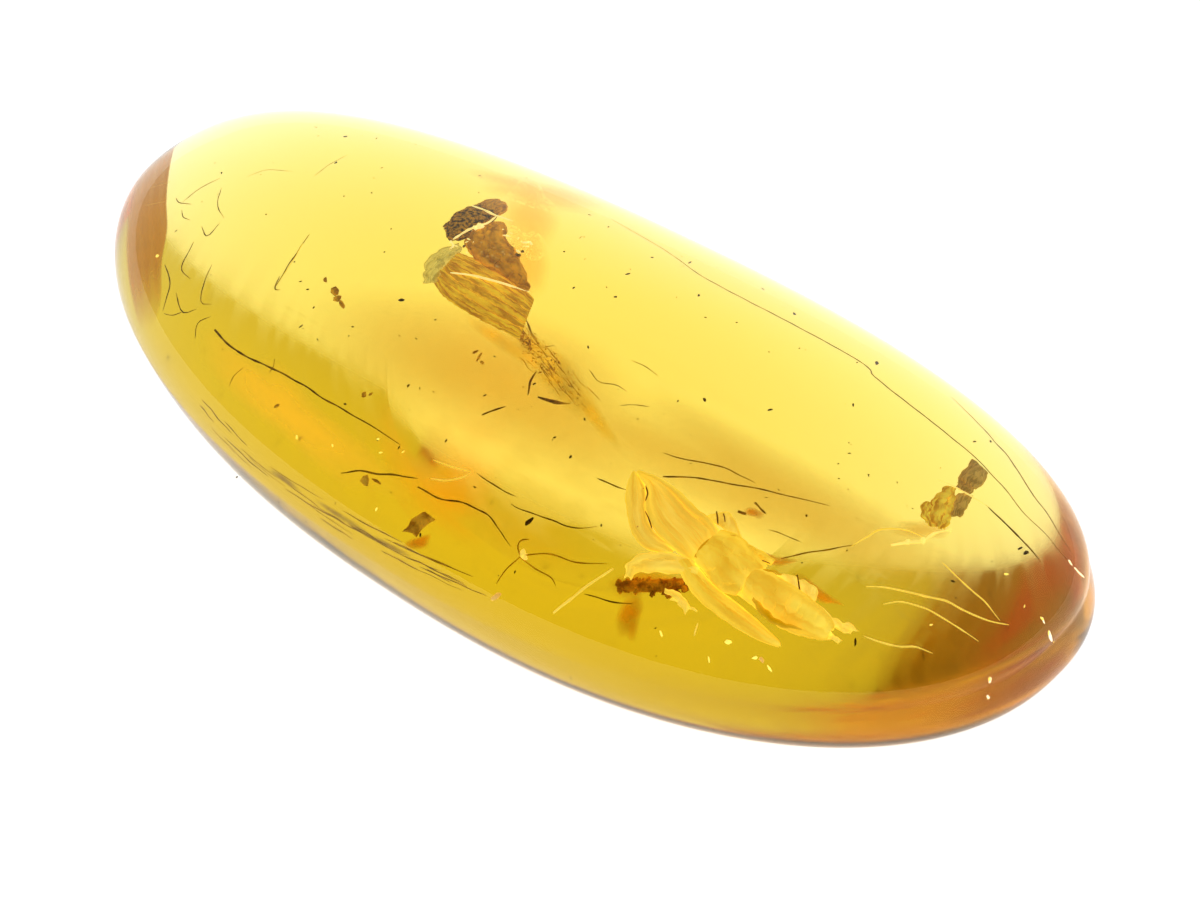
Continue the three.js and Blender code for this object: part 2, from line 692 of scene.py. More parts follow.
@dataclass(frozen=True)
class BarkFinish:
    """Crumbly or fibrous plant matter.

    Attributes:
        name: the material's name.
        light: the colour of its raised grains.
        dark: the colour between them.
        scale: how fine the grain is, in grains to the metre.
        lines: how many fibre lines run along it; 0 has none.
        glow: its painted glow, the colour given out as light in place of the light it passes on from behind.
        solid: how far it hides what is behind it, 0 to 1.
    """

    name: str
    light: Colour
    dark: Colour
    scale: float = 2600.0
    lines: float = 0.0
    glow: float = 0.0
    solid: float = 1.0

    FIBRES = 0.75  # the lines' share of the pattern; the grain has the rest
    ROUGHNESS = 0.7
    BUMP = 0.08  # mm

    def make(self, effects: SharedEffects) -> bpy.types.Material:
        """Builds the material.

        Args:
            effects: the shared node groups.

        Returns:
            The material.
        """
        material, bench, shader = new_material(self.name)
        grain = bench.group(effects.grain, {"Vector": bench.place(), "Scale": self.scale})
        factor, height = grain.outputs["Mask"], grain.outputs["Height"]
        if self.lines:
            inputs = {"Across": bench.share("across"), "Along": bench.share("along"), "Lines": self.lines}
            fibres = bench.group(effects.fibres, {**inputs, "Waver": 3.0})
            factor = bench.maths("MULTIPLY_ADD", fibres.outputs["Mask"], self.FIBRES)
            bench.feed(factor.node.inputs[2], bench.maths("MULTIPLY", grain.outputs["Mask"], 1 - self.FIBRES))
            height = fibres.outputs["Height"]
        colour = bench.blend(factor, self.dark, self.light)
        bench.feed(shader.inputs["Base Color"], colour)
        # Painted glow: the colour is also given out as light, in place of the light that passes through from
        # behind.
        bench.feed(shader.inputs["Emission Color"], colour)
        shader.inputs["Emission Strength"].default_value = self.glow
        shader.inputs["Roughness"].default_value = self.ROUGHNESS
        shader.inputs["Specular IOR Level"].default_value = 0.0
        bump = bench.add("ShaderNodeBump", {"Height": height, "Distance": self.BUMP * MM})
        bench.feed(shader.inputs["Normal"], bump.outputs[0])
        if self.solid < 1.0:
            shader.inputs["Alpha"].default_value = self.solid
        return material


@dataclass(frozen=True)
class StainFinish:
    """A thin brown sheet in the resin, strongest in its middle: a stain or cloud, or a sheet of painted
    shade.

    Attributes:
        name: the material's name.
        colour: of the stain.
        strength: how far its middle hides what is behind it, 0 to 1.
        glow: its painted glow, the colour given out as light in place of the light it passes on.
        mottle: how uneven it is, 0 to 1.
    """

    name: str
    colour: Colour
    strength: float = 0.7
    glow: float = 0.3
    mottle: float = 0.45

    DEEPENING = 0.8  # how much of the mottle also darkens its colour
    ROUGHNESS = 0.8

    def make(self, effects: SharedEffects) -> bpy.types.Material:
        """Builds the material.

        Args:
            effects: the shared node groups.

        Returns:
            The material.
        """
        material, bench, shader = new_material(self.name)
        mottle = bench.group(effects.grain, {"Vector": bench.place(), "Scale": 1100.0})
        cloud = bench.maths("MULTIPLY_ADD", mottle.outputs["Mask"], self.mottle)
        cloud.node.inputs[2].default_value = 1.0 - self.mottle
        veil = bench.maths("MULTIPLY", bench.share("tone"), cloud)
        bench.feed(shader.inputs["Alpha"], bench.maths("MULTIPLY", veil, self.strength))
        deep = tuple((1.0 - self.DEEPENING * self.mottle) * part for part in self.colour)
        colour = bench.blend(mottle.outputs["Mask"], deep, self.colour)
        bench.feed(shader.inputs["Base Color"], colour)
        # Painted glow: the colour is also given out as light, in place of the light that passes through.
        bench.feed(shader.inputs["Emission Color"], colour)
        shader.inputs["Emission Strength"].default_value = self.glow
        shader.inputs["Roughness"].default_value = self.ROUGHNESS
        shader.inputs["Specular IOR Level"].default_value = 0.0
        return material


# ---------------------------------------------------------------------------------------------
# The stone
# ---------------------------------------------------------------------------------------------


@dataclass
class AmberStone:
    """The polished pebble: a plan outline carried through a side profile.

    The sizes are the construction's own, in millimetres. The outline is a rounded oval, wider at one
    end and bowed. The dome above the waist is an ellipse, and the belly below it is squarer, deepest a
    little off the middle and cut flat where the stone rests.
    """

    half_length: float = 16.0
    half_width: float = 7.38
    outline_power: float = 2.29
    taper: float = 0.086
    bow: float = 0.2
    thickness: float = 7.5
    waist: float = 3.35
    dome_plan_power: float = 2.0
    dome_height_power: float = 2.0
    belly_plan_power: float = 2.5
    belly_height_power: float = 2.8
    belly_cut: float = 0.12
    belly_shift: tuple[float, float] = (1.4, 0.5)
    columns: int = 480
    seat_rows: int = 10
    belly_rows: int = 84
    dome_rows: int = 80

    def outline(self, angle: Array) -> Array:
        """The plan outline: x is the half length times the cosine, y the half width times the sine,
        each raised to 2 over the outline power with its sign kept; the half width grows with the taper
        times the cosine, and the bow adds a share of the cosine squared.

        Args:
            angle: about the stone's middle, radians.

        Returns:
            x and y for each angle, in millimetres.
        """
        along, across = np.cos(angle), np.sin(angle)
        power = 2 / self.outline_power
        width = self.half_width * (1 + self.taper * along)
        x = self.half_length * np.sign(along) * np.abs(along) ** power
        y = width * np.sign(across) * np.abs(across) ** power
        return np.stack([x, y + self.bow * self.half_width * (along**2 - 0.5)], axis=-1)

    def belly_share(self, height: Array) -> Array:
        """How far down the belly a height is: 0 at the waist and above, 1 at the uncut lowest point."""
        return np.maximum(self.waist - height, 0.0) / (self.waist + self.belly_cut)

    def profile(self) -> tuple[Array, Array]:
        """The side profile as plan scale and height, from the middle of the seat to the dome's top.

        On each half, scale to the plan power plus the share of its depth to the height power is 1. The
        steps are closest where the profile turns fastest.

        Returns:
            The plan scales and the heights.
        """
        turn = np.linspace(0, np.pi / 2, self.belly_rows, endpoint=False)
        low = self.waist * (1 - np.cos(turn))
        share = self.belly_share(low)
        belly = (1 - share**self.belly_height_power) ** (1 / self.belly_plan_power)
        rise = np.sin(np.linspace(0, np.pi / 2, self.dome_rows))
        dome = np.maximum(1 - rise**self.dome_height_power, 0.0) ** (1 / self.dome_plan_power)
        high = self.waist + (self.thickness - self.waist) * rise
        seat = np.linspace(0, belly[0], self.seat_rows, endpoint=False)
        return np.concatenate([seat, belly, dome]), np.concatenate([0 * seat, low, high])

    def skin(self, middle: Array) -> Skin:
        """The stone's whole surface.

        Args:
            middle: x and y of the construction box's middle, in millimetres.

        Returns:
            The closed skin, moved so that its own box has that middle.
        """
        scale, height = self.profile()
        angle = np.linspace(0, 2 * np.pi, self.columns, endpoint=False)
        flat = self.outline(angle)[None] * scale[:, None, None]
        flat = flat + self.belly_share(height)[:, None, None] * np.array(self.belly_shift)
        flat = flat - (flat.max(axis=(0, 1)) + flat.min(axis=(0, 1))) / 2 + middle
        level = np.broadcast_to(height[:, None, None], (*flat.shape[:2], 1))
        points = np.concatenate([flat, level], axis=-1)
        rows = len(scale)
        share = np.broadcast_to(np.linspace(0, 1, rows)[:, None], (rows, self.columns))
        turn = np.broadcast_to(np.linspace(0, 1, self.columns)[None], (rows, self.columns))
        faces = grid_faces(rows, self.columns, True)
        return Skin(points.reshape(-1, 3), [faces], turn.ravel(), share.ravel(), 0 * turn.ravel())

    def build(self, finish: AmberFinish, effects: SharedEffects) -> bpy.types.Object:
        """Makes the stone in the place of its construction solid.

        Args:
            finish: the amber's finish.
            effects: the shared node groups.

        Returns:
            The stone's piece.
        """
        low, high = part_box("amber_stone")
        middle = np.array([(low.x + high.x) / 2, (low.y + high.y) / 2]) / MM
        body = make_piece("amber_body", self.skin(middle), finish.make(effects))
        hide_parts("amber_stone")
        return body


# ---------------------------------------------------------------------------------------------
# Things sealed in the stone
# ---------------------------------------------------------------------------------------------


@dataclass
class Petal:
    """A thin leaf-like shell between two edges.

    A point's plan place is the left edge's point times (1 - u) plus the right edge's times u. Its
    height runs from the start to the end, plus the camber times 4u(1 - u), plus a bell for each ridge,
    plus a sine for the pleats. The shell is thickest in its middle and thin at its edges.

    Attributes:
        left: the left edge on the plan.
        right: the right edge on the plan.
        height: of the first and the last end, mm above the seat.
        thickness: in the middle.
        camber: how far the middle stands above the edges.
        ridges: for each ridge its share across, its height and its width.
        pleats: how many folds run along it, and how deep they are.
        ragged: how uneven the surface is.
        rows: points along.
        columns: points across.
        seed: of the unevenness.
    """

    left: Plan
    right: Plan
    height: tuple[float, float]
    thickness: float = 0.1
    camber: float = 0.2
    ridges: Sequence[tuple[float, float, float]] = ()
    pleats: tuple[float, float] = (0.0, 0.0)
    ragged: float = 0.02
    rows: int = 48
    columns: int = 26
    seed: int = 1

    def skin(self) -> Skin:
        """The petal's closed skin.

        Returns:
            The skin; its tone is 1 in the middle and 0 at the edges.
        """
        one = even_steps(np.array(self.left, float), self.rows)[:, None]
        two = even_steps(np.array(self.right, float), self.rows)[:, None]
        u = np.broadcast_to(np.linspace(0, 1, self.columns)[None, :, None], (self.rows, self.columns, 1))
        v = np.broadcast_to(np.linspace(0, 1, self.rows)[:, None, None], (self.rows, self.columns, 1))
        flat = one * (1 - u) + two * u
        arch = 4 * u * (1 - u)
        level = self.height[0] * (1 - v) + self.height[1] * v + self.camber * arch
        for middle, rise, width in self.ridges:
            level = level + rise * np.exp(-(((u - middle) / width) ** 2)) * np.sqrt(np.sin(np.pi * v) + 0.02)
        count, depth = self.pleats
        level = level + depth * np.sin(2 * np.pi * count * u + 1.5 * v) * np.sqrt(arch)
        uneven = ripple(flat, 0.45, self.seed) + 0.6 * ripple(flat, 0.17, self.seed + 50)
        level = level + self.ragged * uneven[..., None]
        wander = self.ragged * np.stack(
            [ripple(flat, 0.3, self.seed + 7), ripple(flat, 0.3, self.seed + 8)], -1
        )
        surface = settle(np.concatenate([flat + wander, level], axis=-1))
        body = np.clip(arch[..., 0], 0, 1) ** 0.5 * np.clip(np.sin(np.pi * v[..., 0]), 0, 1) ** 0.35
        half = 0.5 * self.thickness * (0.12 + 0.88 * body)
        return shell(surface, half, u[..., 0], v[..., 0], arch[..., 0] * np.sin(np.pi * v[..., 0]))


@dataclass
class Hair:
    """One fine plant hair or insect bristle.

    Attributes:
        route: its points on the plan.
        height: along it, mm above the seat: its first and last ends, or more, spread evenly.
        radius: in its thickest part, mm, before the share below is taken.
        start: the radius at its first end, as a share.
        end: the radius at its last end, as a share.
        kink: how far it wanders from its route, mm.
    """

    route: Plan
    height: Sequence[float] = (4.5, 4.5)
    radius: float = 0.022
    start: float = 0.4
    end: float = 0.25
    kink: float = 0.015

    SLENDER = 0.85  # the share of its radius that a hair is made with
    RING_GAP = 0.12  # mm between the rings of its tube
    RING_COUNTS = (10, 110)  # the fewest and the most rings

    def skin(self, seed: int) -> Skin:
        """The hair's closed skin: a tube along its smooth route, thinning towards both ends.

        Args:
            seed: the seed of its small wander.

        Returns:
            The skin.
        """
        knots = on_plan(self.route, *self.height)
        span = np.linalg.norm(np.diff(knots, axis=0), axis=1).sum()
        rows = int(np.clip(span / self.RING_GAP, *self.RING_COUNTS))
        line = even_steps(knots, rows)
        share = np.linspace(0, 1, rows)
        here = np.linspace(0, span, rows)[:, None]
        drift = np.stack([ripple(here, 1.1, seed + shift) for shift in (0, 11, 22)], axis=-1)
        line = settle(line + self.kink * drift * np.sin(np.pi * share)[:, None])
        thin = np.where(share < 0.5, self.start, self.end)
        body = thin + (1 - thin) * np.sin(np.pi * share) ** 0.6
        body = body * (1 + 0.25 * ripple(here, 0.5, seed + 33))
        rng = np.random.default_rng(seed)
        return tube(line, self.SLENDER * self.radius * body, tone=float(rng.uniform(0, 1)))


def hairs(group: Sequence[Hair], seed: int) -> Skin:
    """Several hairs in one skin, each with its own seed."""
    return join([hair.skin(seed + 100 * number) for number, hair in enumerate(group)])


@dataclass
class Patch:
    """A soft round stain: a thin lens whose tone falls to nothing at its rim.

    Attributes:
        middle: on the plan.
        reach: half its length and half its width.
        turn: of its long side from +X, degrees.
        height: mm above the seat.
        tilt: how much higher its +X end is, mm.
    """

    middle: tuple[float, float]
    reach: tuple[float, float]
    turn: float = 0.0
    height: float = 4.0
    tilt: float = 0.0

    def skin(self, seed: int) -> Skin:
        """The stain's closed skin: rings of an uneven oval, tone 1 in the middle and 0 at the rim.

        Args:
            seed: the seed of its uneven rim.

        Returns:
            The skin.
        """
        rings, sides = 14, 32
        share = np.linspace(1, 0.02, rings)[:, None]
        angle = np.linspace(0, 2 * np.pi, sides, endpoint=False)[None]
        circle = np.stack([np.cos(angle), np.sin(angle)], axis=-1)
        uneven = 1 + 0.25 * ripple(circle, 1.5, seed)
        x = self.reach[0] * share * np.cos(angle) * uneven
        y = self.reach[1] * share * np.sin(angle) * uneven
        lean = math.radians(self.turn)
        flat_x = self.middle[0] + x * math.cos(lean) - y * math.sin(lean)
        flat_y = self.middle[1] + x * math.sin(lean) + y * math.cos(lean)
        level = self.height + self.tilt * x / self.reach[0]
        top = settle(np.stack([flat_x, flat_y, level], axis=-1))
        low = top[::-1] - np.array([0.0, 0.0, 0.02])
        tone = np.broadcast_to((1 - share**2) ** 1.3, (rings, sides))
        points = np.vstack([top.reshape(-1, 3)[::-1], low.reshape(-1, 3)[::-1]])
        rows = 2 * rings
        tones = np.vstack([tone[::-1], tone]).ravel()
        caps = np.arange(sides)
        loop = grid_faces(rows, sides, True)
        first = caps[None, :]
        last = caps[None, ::-1] + (rows - 1) * sides
        return Skin(points, [loop, first, last], 0 * tones, 0 * tones, tones)


class Insect:
    """The pale insect: two folded wings, a stub, a shield, a long blade, the abdomen and torn skin."""

    def __init__(self) -> None:
        """Sets the finishes of its parts."""
        # Their glow is painted light in place of the light passing through the skin; their grey middles and
        # broad folds are painted shade.
        self.wing_paper = PaperFinish(
            "insect_wing_paper", (1.0, 0.76, 0.10), middle_shade=0.8, glow=0.72, lines=14.0, fold_shade=0.4
        )
        self.body_paper = PaperFinish(
            "insect_body_paper", (1.0, 0.76, 0.09), (0.94, 0.62, 0.05),
            middle_shade=0.6, glow=0.68, lines=9.0, fold_shade=0.5
        )
        self.shade = PaperFinish("insect_shade", (0.95, 0.60, 0.04), (0.72, 0.40, 0.0), middle_shade=1.0, glow=0.5)
        self.bright = PaperFinish(
            "insect_torn_skin", pale=(1.0, 0.78, 0.12), middle_shade=0.4, glow=0.74, lines=6.0, fold_shade=0.3
        )
        self.under = BarkFinish("insect_underside", (0.66, 0.29, 0.01), (0.30, 0.10, 0.0), 3600.0, glow=0.14)

    @staticmethod
    def wings() -> dict[str, Skin]:
        """The two wing lobes and the stub beside them.

        Returns:
            Their skins, by name.
        """
        outer = Petal(
            left=((5.2, -2.0), (5.45, -2.55), (5.8, -2.95), (6.45, -3.5), (7.05, -3.7), (7.65, -3.5)),
            right=((5.25, -1.98), (5.75, -2.2), (5.98, -2.4), (6.3, -2.8), (6.8, -3.15), (7.65, -3.3)),
            height=(4.4, 4.6),
            camber=0.12,
            thickness=0.12,
            ridges=((0.1, 0.07, 0.12), (0.92, 0.1, 0.1)),
            ragged=0.012,
            seed=3,
        )
        inner = Petal(
            left=((5.28, -1.98), (5.8, -2.22), (6.12, -2.62), (6.42, -2.9), (7.0, -3.2), (8.2, -3.45)),
            right=((5.3, -1.93), (5.95, -1.82), (6.6, -1.86), (7.25, -2.02), (7.85, -2.1), (8.5, -2.45)),
            height=(4.5, 4.75),
            camber=0.05,
            thickness=0.14,
            ridges=((0.06, 0.12, 0.07), (0.5, -0.08, 0.2), (0.74, 0.1, 0.06), (0.93, 0.22, 0.08)),
            ragged=0.012,
            seed=5,
        )
        stub = Petal(
            left=((7.55, -2.08), (7.7, -1.85), (7.88, -1.66)),
            right=((8.95, -2.25), (8.55, -1.95), (8.02, -1.66)),
            height=(4.75, 4.7),
            camber=0.15,
            thickness=0.12,
            ridges=((0.35, 0.08, 0.12), (0.75, 0.08, 0.12)),
            seed=7,
        )
        return {"outer": outer.skin(), "inner": inner.skin(), "stub": stub.skin()}

    @staticmethod
    def body() -> dict[str, Skin]:
        """The shield, the long blade below it, the abdomen with its groove, and the side tab.

        Returns:
            Their skins, by name.
        """
        shield = Petal(
            left=((8.2, -3.35), (8.75, -3.5), (9.3, -3.68), (9.75, -3.6)),
            right=((8.15, -2.2), (8.55, -2.1), (8.95, -2.15), (9.75, -2.4)),
            height=(4.85, 4.95),
            camber=0.35,
            thickness=0.35,
            ridges=((0.3, 0.06, 0.1), (0.7, 0.08, 0.1)),
            ragged=0.02,
            seed=11,
        )
        blade = Petal(
            left=((7.9, -3.62), (8.8, -4.08), (9.8, -4.22), (10.8, -4.18), (11.45, -4.0)),
            right=((8.2, -3.35), (9.1, -3.6), (9.9, -3.66), (10.7, -3.76), (11.47, -3.96)),
            height=(4.75, 4.3),
            camber=0.22,
            thickness=0.18,
            ridges=((0.25, 0.05, 0.12), (0.75, 0.06, 0.12)),
            ragged=0.015,
            seed=13,
        )
        abdomen = Petal(
            left=((9.65, -3.5), (10.4, -3.5), (11.2, -3.5), (11.95, -3.28), (12.2, -3.1)),
            right=((9.65, -2.5), (10.3, -2.52), (11.0, -2.5), (11.7, -2.62), (12.15, -2.8)),
            height=(4.85, 4.45),
            camber=0.5,
            thickness=0.5,
            ridges=((0.16, -0.3, 0.07), (0.55, 0.1, 0.15)),
            ragged=0.02,
            seed=17,
        )
        tab = Petal(
            left=((8.95, -2.32), (9.4, -2.36), (9.78, -2.3)),
            right=((8.95, -2.15), (9.4, -2.12), (9.78, -2.12)),
            height=(4.95, 4.9),
            camber=0.1,
            thickness=0.12,
            seed=19,
        )
        return {"shield": shield.skin(), "blade": blade.skin(), "abdomen": abdomen.skin(), "tab": tab.skin()}

    @staticmethod
    def hood() -> Skin:
        """The small arched hood over the dark underside.

        Returns:
            One skin with the arch and its fold.
        """
        arch = Petal(
            left=((7.22, -4.66), (7.0, -4.3), (7.08, -3.9), (7.5, -3.55), (8.1, -3.35), (8.5, -3.4)),
            right=((7.36, -4.6), (7.32, -4.38), (7.55, -4.2), (7.92, -4.0), (8.25, -3.82), (8.62, -3.75)),
            height=(4.35, 4.8),
            camber=0.18,
            thickness=0.14,
            ridges=((0.25, 0.06, 0.1), (0.75, 0.06, 0.1)),
            ragged=0.035,
            seed=23,
        )
        fold = Petal(
            left=((8.2, -4.3), (8.55, -4.2), (9.0, -4.35)),
            right=((8.25, -4.42), (8.6, -4.42), (9.1, -4.62)),
            height=(4.4, 4.35),
            camber=0.06,
            thickness=0.06,
            seed=24,
        )
        return join([arch.skin(), fold.skin()])

    @staticmethod
    def shades() -> Skin:
        """The golden shadows: the abdomen's groove, the seam beside the shield and the wing's pocket.

        Returns:
            One skin with all three.
        """
        groove = Petal(
            left=((10.1, -3.3), (10.6, -3.5), (11.1, -3.55), (11.62, -3.4)),
            right=((10.15, -3.5), (10.6, -3.72), (11.15, -3.72), (11.62, -3.42)),
            height=(5.12, 4.95),
            camber=0.04,
            thickness=0.06,
            seed=25,
        )
        seam = Petal(
            left=((8.2, -3.3), (8.1, -2.9), (8.2, -2.4), (8.55, -2.15)),
            right=((8.27, -3.3), (8.18, -2.9), (8.27, -2.42), (8.58, -2.2)),
            height=(5.05, 5.15),
            camber=0.02,
            thickness=0.04,
            seed=26,
        )
        joint = Petal(
            left=((9.62, -3.45), (9.62, -3.0), (9.8, -2.55), (10.2, -2.4)),
            right=((9.72, -3.42), (9.72, -3.0), (9.88, -2.6), (10.22, -2.46)),
            height=(5.2, 5.25),
            camber=0.02,
            thickness=0.04,
            seed=27,
        )
        return join([groove.skin(), seam.skin(), joint.skin()])

    @staticmethod
    def torn_skin() -> Skin:
        """The bright torn flakes along the abdomen and the forked tongues at its end.

        Returns:
            One skin with all the flakes.
        """
        flakes = (
            Petal(((10.1, -2.5), (10.55, -2.62), (10.95, -2.85)), ((10.15, -2.42), (10.5, -2.22),
                   (10.92, -2.6)),
                  (5.05, 5.0), 0.06, 0.1, seed=31),
            Petal(((10.62, -2.3), (10.9, -2.6), (11.2, -2.75)), ((10.68, -2.18), (11.15, -2.2),
                   (11.35, -2.55)),
                  (5.05, 4.95), 0.06, 0.08, seed=32),
            Petal(((11.25, -2.72), (11.6, -2.72), (12.1, -2.86)), ((11.3, -2.55), (11.65, -2.52),
                   (12.15, -2.6)),
                  (4.85, 4.6), 0.06, 0.06, seed=33),
            Petal(((11.8, -2.85), (12.15, -2.75), (12.55, -2.6)), ((11.8, -2.6), (12.2, -2.42), (12.6, -2.4)),
                  (4.6, 4.4), 0.06, 0.05, ragged=0.05, seed=34),
            Petal(((11.8, -3.2), (12.15, -3.15), (12.5, -3.0)), ((11.8, -2.95), (12.2, -2.9), (12.5, -2.88)),
                  (4.6, 4.4), 0.06, 0.05, ragged=0.05, seed=35),
            Petal(((8.5, -4.46), (8.85, -4.44), (9.25, -4.42)), ((8.5, -4.36), (8.85, -4.36), (9.25, -4.38)),
                  (4.3, 4.4), 0.05, 0.03, seed=36),
        )
        return join([flake.skin() for flake in flakes])

    @staticmethod
    def underside() -> Skin:
        """The red-brown legs and gut that show under the hood: lumps along a short band.

        Returns:
            One skin with the lumps and the band.
        """
        line = even_steps(on_plan(((7.25, -4.72), (7.65, -4.5), (8.05, -4.25), (8.45, -3.9)), 4.0, 4.4), 90)
        rng = np.random.default_rng(41)
        spread = rng.normal(size=(90, 3)) * np.array([0.1, 0.1, 0.06])
        lumps = grains(settle(line + spread), rng.uniform(0.03, 0.11, 90), 42)
        band = tube(settle(line), 0.13 + 0.05 * np.sin(np.linspace(0, np.pi, 90)), sides=12, flatten=0.6)
        return join([lumps, band])

    def build(self, effects: SharedEffects) -> list[bpy.types.Object]:
        """Makes all the insect's pieces.

        Args:
            effects: the shared node groups.

        Returns:
            The pieces.
        """
        wing, body = self.wing_paper.make(effects), self.body_paper.make(effects)
        bright, under = self.bright.make(effects), self.under.make(effects)
        made = [make_piece(f"insect_wing_{k}", s, wing) for k, s in self.wings().items()]
        made += [make_piece(f"insect_{k}", s, body) for k, s in self.body().items()]
        made.append(make_piece("insect_hood", self.hood(), bright))
        made.append(make_piece("insect_shades", self.shades(), self.shade.make(effects)))
        made.append(make_piece("insect_torn_skin", self.torn_skin(), bright))
        made.append(make_piece("insect_underside", self.underside(), under))
        return made


class BudScale:
    """The dark bud scale with its crumbly lobe, translucent side, pleated fan and crossing hairs."""

    RAISED = 1.4  # mm that it lies above the heights below

    def __init__(self) -> None:
        """Sets the finishes of its parts."""
        self.crumb = BarkFinish("bud_crumb", (0.80, 0.42, 0.03), (0.06, 0.022, 0.0), 9500.0, glow=0.12)
        self.brown = BarkFinish("bud_brown", (1.0, 0.50, 0.01), (0.34, 0.13, 0.0), 5200.0, 9.0, 0.24, 0.8)
        self.husk = BarkFinish("bud_husk", (0.95, 0.85, 0.30), (0.52, 0.42, 0.08), 2500.0, 12.0, 0.35, 0.6)
        self.fan = BarkFinish("bud_fan", (1.0, 0.72, 0.04), (0.44, 0.18, 0.0), 1800.0, 34.0, 0.42, 0.88)
        self.pale = PaperFinish("bud_pale_hair", pale=(1.0, 0.90, 0.45), middle_shade=0.0, glow=0.8, lines=3.0)
        self.haze = StainFinish("bud_haze", (1.0, 0.52, 0.01), 0.36, 0.6, 0.06)

    @staticmethod
    def lobes() -> dict[str, Skin]:
        """The three leafy lobes and the husk.

        Returns:
            Their skins, by name.
        """
        crumb = Petal(
            left=((-4.85, 2.95), (-4.95, 2.6), (-4.85, 2.1), (-4.55, 1.62), (-4.2, 1.42)),
            right=((-4.05, 2.92), (-4.0, 2.6), (-4.08, 2.25), (-4.14, 1.85), (-4.18, 1.45)),
            height=(4.3, 4.5), camber=0.3, thickness=0.5, ragged=0.07, seed=51,
        )
        smooth = Petal(
            left=((-4.86, 2.95), (-4.82, 3.2), (-4.6, 3.45)),
            right=((-4.0, 2.95), (-4.05, 3.2), (-4.3, 3.42)),
            height=(4.2, 4.1), camber=0.15, thickness=0.3, ragged=0.02, seed=53,
        )
        brown = Petal(
            left=((-4.1, 2.3), (-3.9, 1.55), (-3.05, 1.15), (-2.35, 1.18), (-1.15, 1.02)),
            right=((-4.0, 2.6), (-3.55, 2.72), (-3.1, 2.28), (-2.5, 2.0), (-1.2, 1.12)),
            height=(4.3, 4.4), camber=0.35, thickness=0.4, ragged=0.04,
            ridges=((0.3, 0.1, 0.12), (0.7, 0.12, 0.12)), seed=55,
        )
        husk = Petal(
            left=((-3.98, 1.4), (-4.2, 0.75), (-4.0, 0.1), (-3.6, -0.35)),
            right=((-3.68, 1.2), (-3.62, 0.8), (-3.45, 0.35), (-3.25, -0.1)),
            height=(4.4, 4.3), camber=0.2, thickness=0.2, ragged=0.05, seed=57,
        )
        return {"crumb_lobe": crumb.skin(), "smooth_lobe": smooth.skin(),
                "brown_lobe": brown.skin(), "husk": husk.skin()}

    @staticmethod
    def pleated_fan() -> Skin:
        """The ochre fan whose pleats run out from its narrow end.

        Returns:
            The fan's skin.
        """
        fan = Petal(
            left=((-3.5, -0.1), (-2.9, -0.38), (-2.2, -0.48), (-1.3, -0.5), (-0.1, -0.42)),
            right=((-3.75, 1.1), (-3.1, 1.18), (-2.3, 1.2), (-1.55, 1.1), (-0.8, 0.92)),
            height=(4.4, 4.2), camber=0.2, thickness=0.16, pleats=(7.0, 0.07), ragged=0.02,
            rows=60, columns=80, seed=61,
        )
        return fan.skin()

    @staticmethod
    def pale_hairs() -> Skin:
        """The pale hairs that cross the scale, with the knot on one of them.

        Returns:
            One skin with the hairs and the knot.
        """
        group = (
            Hair(((-4.9, 2.85), (-4.5, 2.9), (-4.05, 2.92), (-3.55, 3.0)), (4.9, 4.8), 0.045, 0.7, 0.2),
            Hair(((-4.22, 1.42), (-4.2, 1.9), (-4.1, 2.25), (-4.0, 2.55), (-4.05, 2.9)), (4.95, 4.9),
                 0.055, 0.6),
            Hair(((-3.3, 0.35), (-2.8, 0.6), (-2.2, 0.78), (-1.6, 0.93), (-1.1, 1.05)), (4.75, 4.65), 0.05),
            Hair(((-4.15, 1.3), (-4.02, 1.2), (-4.0, 1.05)), (4.9, 4.85), 0.04),
        )
        rng = np.random.default_rng(63)
        knot = settle(np.array([[-4.1, 2.25, 4.95]]) + rng.normal(size=(5, 3)) * 0.04)
        return join([hairs(group, 64), grains(knot, np.full(5, 0.09), 65)])

    @staticmethod
    def clouds() -> Skin:
        """The orange haze in the resin beyond the scale and beside it.

        Returns:
            One skin with all its patches.
        """
        patches = (
            Patch((-4.2, 4.5), (2.1, 0.9), 15.0, 4.0),
            Patch((-3.4, 3.4), (2.0, 0.8), -48.0, 4.0),
            Patch((-2.0, 1.9), (1.7, 0.6), -40.0, 4.0),
        )
        return join([patch.skin(76 + number) for number, patch in enumerate(patches)])

    @staticmethod
    def crumbs() -> tuple[Skin, Skin]:
        """Dark and pale grains that cling to the lobes.

        Returns:
            The skin of the dark grains and the skin of the pale ones.
        """
        rng = np.random.default_rng(67)
        dark = np.column_stack(
            [rng.uniform(-4.85, -4.1, 90), rng.uniform(1.6, 2.85, 90), rng.uniform(4.55, 4.8, 90)]
        )
        brown = np.column_stack(
            [rng.uniform(-3.9, -2.2, 60), rng.uniform(1.3, 2.2, 60), rng.uniform(4.5, 4.75, 60)]
        )
        pale = np.column_stack(
            [rng.uniform(-4.7, -2.2, 34), rng.uniform(1.2, 2.6, 34), rng.uniform(4.65, 4.85, 34)]
        )
        places = settle(np.vstack([dark, brown]))
        return (
            grains(places, rng.uniform(0.03, 0.085, len(places)), 68),
            grains(settle(pale), rng.uniform(0.025, 0.07, len(pale)), 69, (1.6, 0.7, 0.5)),
        )

